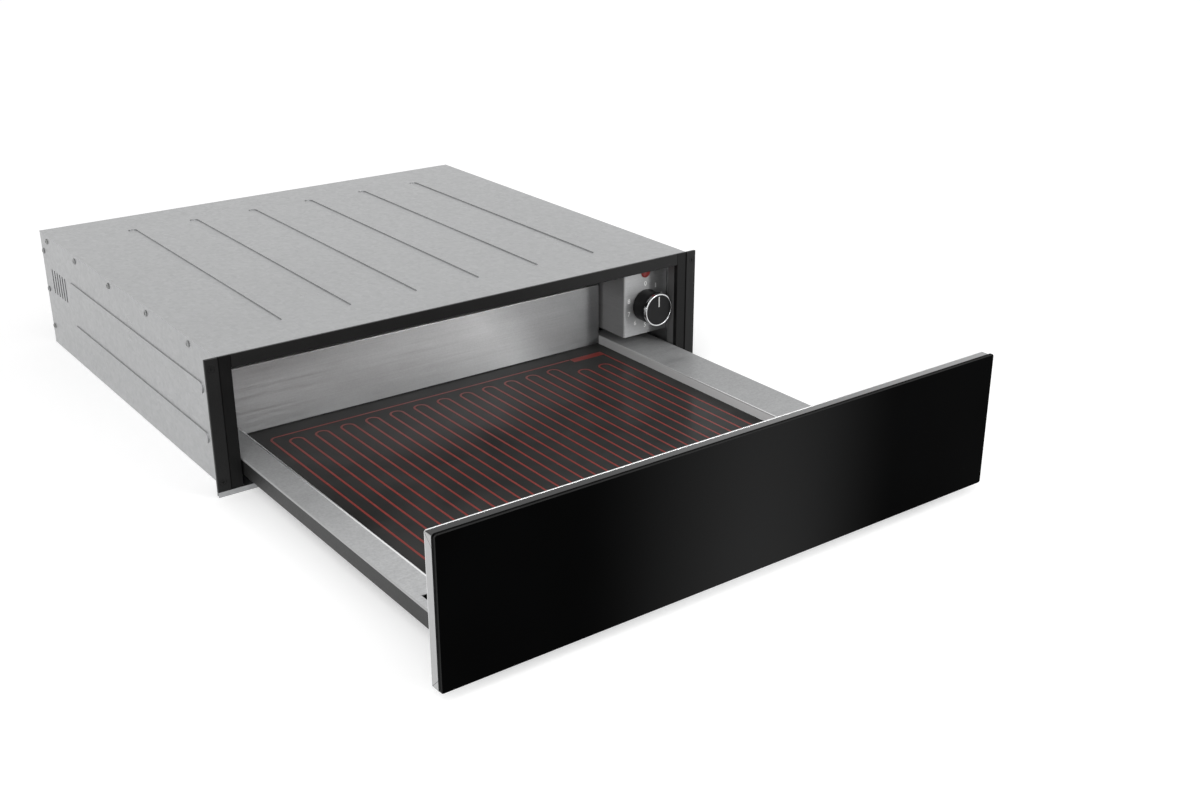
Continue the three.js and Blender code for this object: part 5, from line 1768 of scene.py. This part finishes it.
@dataclass
class Studio:
    """A plain pale floor, soft light and the camera at the photograph's angle."""

    camera_place: Point = (-0.7366, -1.2556, 0.6127)
    camera_yaw: float = 36.62
    camera_pitch: float = 22.6
    lens: float = 43.5
    sensor: float = 36.0
    far_clip: float = 60.0
    sky: float = 0.55
    floor_half: float = 14.0
    floor_levels: Pair = (-0.2, -20.2)  # its upper and lower side, in millimetres
    floor_cloud: float = 700.0  # the size of its faint clouds, in millimetres
    floor_tone: float = 0.86
    floor_lift: float = 0.28
    lamps: tuple[Lamp, ...] = (
        Sun("key", azimuth=215, height=52, away=4, strength=0.95, spread=50),
        Sun("fill", azimuth=300, height=40, away=4, strength=0.3, spread=60),
        Softbox("front_box", azimuth=298.5, height=20, away=2.5, size=(0.32, 1.3), radiance=13.0),
        Softbox("side_box", azimuth=228, height=14, away=2.5, size=(0.8, 0.8), radiance=8.0),
    )
    fan_size: Pair = (1.4, 0.7)
    fan_start: float = -0.4716  # the front of the glass
    fan_gap: float = 0.006
    fan_level: float = 0.003
    fan_slope: float = 0.94
    fan_opening: float = 1.27
    fan_half: float = 0.18
    fan_strength: float = 46.0

    def camera(self) -> None:
        """Sets the camera."""
        data = bpy.data.cameras.new("camera")
        data.lens = self.lens
        data.sensor_width = self.sensor
        data.clip_end = self.far_clip
        camera = linked("camera", data)
        camera.location = self.camera_place
        camera.rotation_euler = (math.radians(90 - self.camera_pitch), 0, math.radians(-self.camera_yaw))
        bpy.context.scene.camera = camera

    def backdrop_share(self, tree: NodeTree) -> bpy.types.NodeSocket:
        """Picks the rays that see the backdrop itself: from the camera, a mirror or through glass.

        Args:
            tree: The tree that asks.

        Returns:
            1 for such a ray and 0 for any other.
        """
        rays = tree.add("ShaderNodeLightPath").outputs
        seen = (rays[f"Is {kind} Ray"] for kind in ("Camera", "Glossy", "Transmission"))
        return reduce(lambda one, other: tree.maths(one, other, "MAXIMUM"), seen)

    def world(self) -> None:
        """White to the eye, softer as a light."""
        world = bpy.data.worlds.new("studio")
        bpy.context.scene.world = world
        world.use_nodes = True
        tree = NodeTree(world.node_tree)
        light, seen = (
            tree.add("ShaderNodeBackground", {"Color": (1, 1, 1, 1), "Strength": strength}).outputs[0]
            for strength in (self.sky, 1.0)
        )
        mix = tree.add("ShaderNodeMixShader", {0: self.backdrop_share(tree), 1: light, 2: seen})
        tree.add("ShaderNodeOutputWorld", {"Surface": mix.outputs[0]})

    def floor(self) -> None:
        """A wide pale floor that keeps the object's shadow."""
        half = self.floor_half / MM
        corners = [(-half, -half), (half, -half), (half, half), (-half, half)]
        points = [(x, y, z) for z in self.floor_levels for x, y in corners]
        floor = made("studio_floor", points, box_faces())
        s = Shade("studio_floor")
        tone = s.tint(s.noise(self.floor_cloud, 2), *shades(grey(self.floor_tone), 0.99))
        matt = s.add("ShaderNodeBsdfDiffuse", {"Color": tone}).outputs[0]
        off, lift = (
            s.add("ShaderNodeEmission", {"Strength": strength}).outputs[0]
            for strength in (0.0, self.floor_lift)
        )
        glow = s.add("ShaderNodeMixShader", {0: self.backdrop_share(s), 1: off, 2: lift}).outputs[0]
        both = s.add("ShaderNodeAddShader", {0: matt, 1: glow}).outputs[0]
        s.add("ShaderNodeOutputMaterial", {"Surface": both})
        floor.data.materials.append(s.material)

    def band(self) -> None:
        """The low fan-shaped light that draws the soft upright band in the front's gloss."""
        wide, deep = self.fan_size
        light = area_light("fan", self.fan_size, 1.0)
        light.use_nodes = True
        tree = NodeTree(light.node_tree)
        where = tree.parts(tree.add("ShaderNodeNewGeometry").outputs["Position"])
        ahead = tree.maths(self.fan_start, where["Y"], "SUBTRACT")
        middle = tree.maths(ahead, self.fan_slope, "MULTIPLY")
        opening = tree.maths(tree.maths(ahead, self.fan_opening, "MULTIPLY"), 1.0)
        across = tree.maths(tree.maths(where["X"], middle, "SUBTRACT"), opening, "DIVIDE")
        share = tree.maths(tree.maths(across, 0.0, "ABSOLUTE"), self.fan_half, "DIVIDE")
        fall = tree.add("ShaderNodeValToRGB", {0: share})
        fall.color_ramp.interpolation = "EASE"
        for stop, level in zip(fall.color_ramp.elements, (1.0, 0.0)):
            stop.color = (*grey(level), 1)
        shine = {"Color": fall.outputs[0], "Strength": self.fan_strength}
        tree.add("ShaderNodeOutputLight", {0: tree.add("ShaderNodeEmission", shine).outputs[0]})
        lamp = linked("fan", light)
        lamp.rotation_euler = (math.pi, 0, 0)
        lamp.location = (wide / 3, self.fan_start - self.fan_gap - deep / 2, self.fan_level)
        lamp.visible_camera = lamp.visible_diffuse = lamp.visible_transmission = False

    def build(self) -> None:
        """Sets up the whole studio."""
        bpy.context.scene.view_settings.view_transform = "Standard"
        self.camera()
        self.world()
        self.floor()
        for lamp in self.lamps:
            lamp.hang()
        self.band()


def main() -> None:
    """Builds and dresses every sub-assembly in order, then lights it."""
    logging.basicConfig(level=logging.INFO, format="%(name)s %(message)s")
    groups: list[SubAssembly] = [
        Casing(), Runners(), FrontPanel(), DrawerBox(), HeatedFloor(), ControlUnit(), PushCatch()
    ]
    for group in groups:
        group.dress()
        group.build()
    Studio().build()
    dressed = {node for group in groups for node in (*group.finishes, *group.replaced)}
    missing = sorted(set(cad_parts) - dressed)
    LOG.info("packed solids without a finish: %s", missing or "none")


if __name__ == "__main__":
    main()
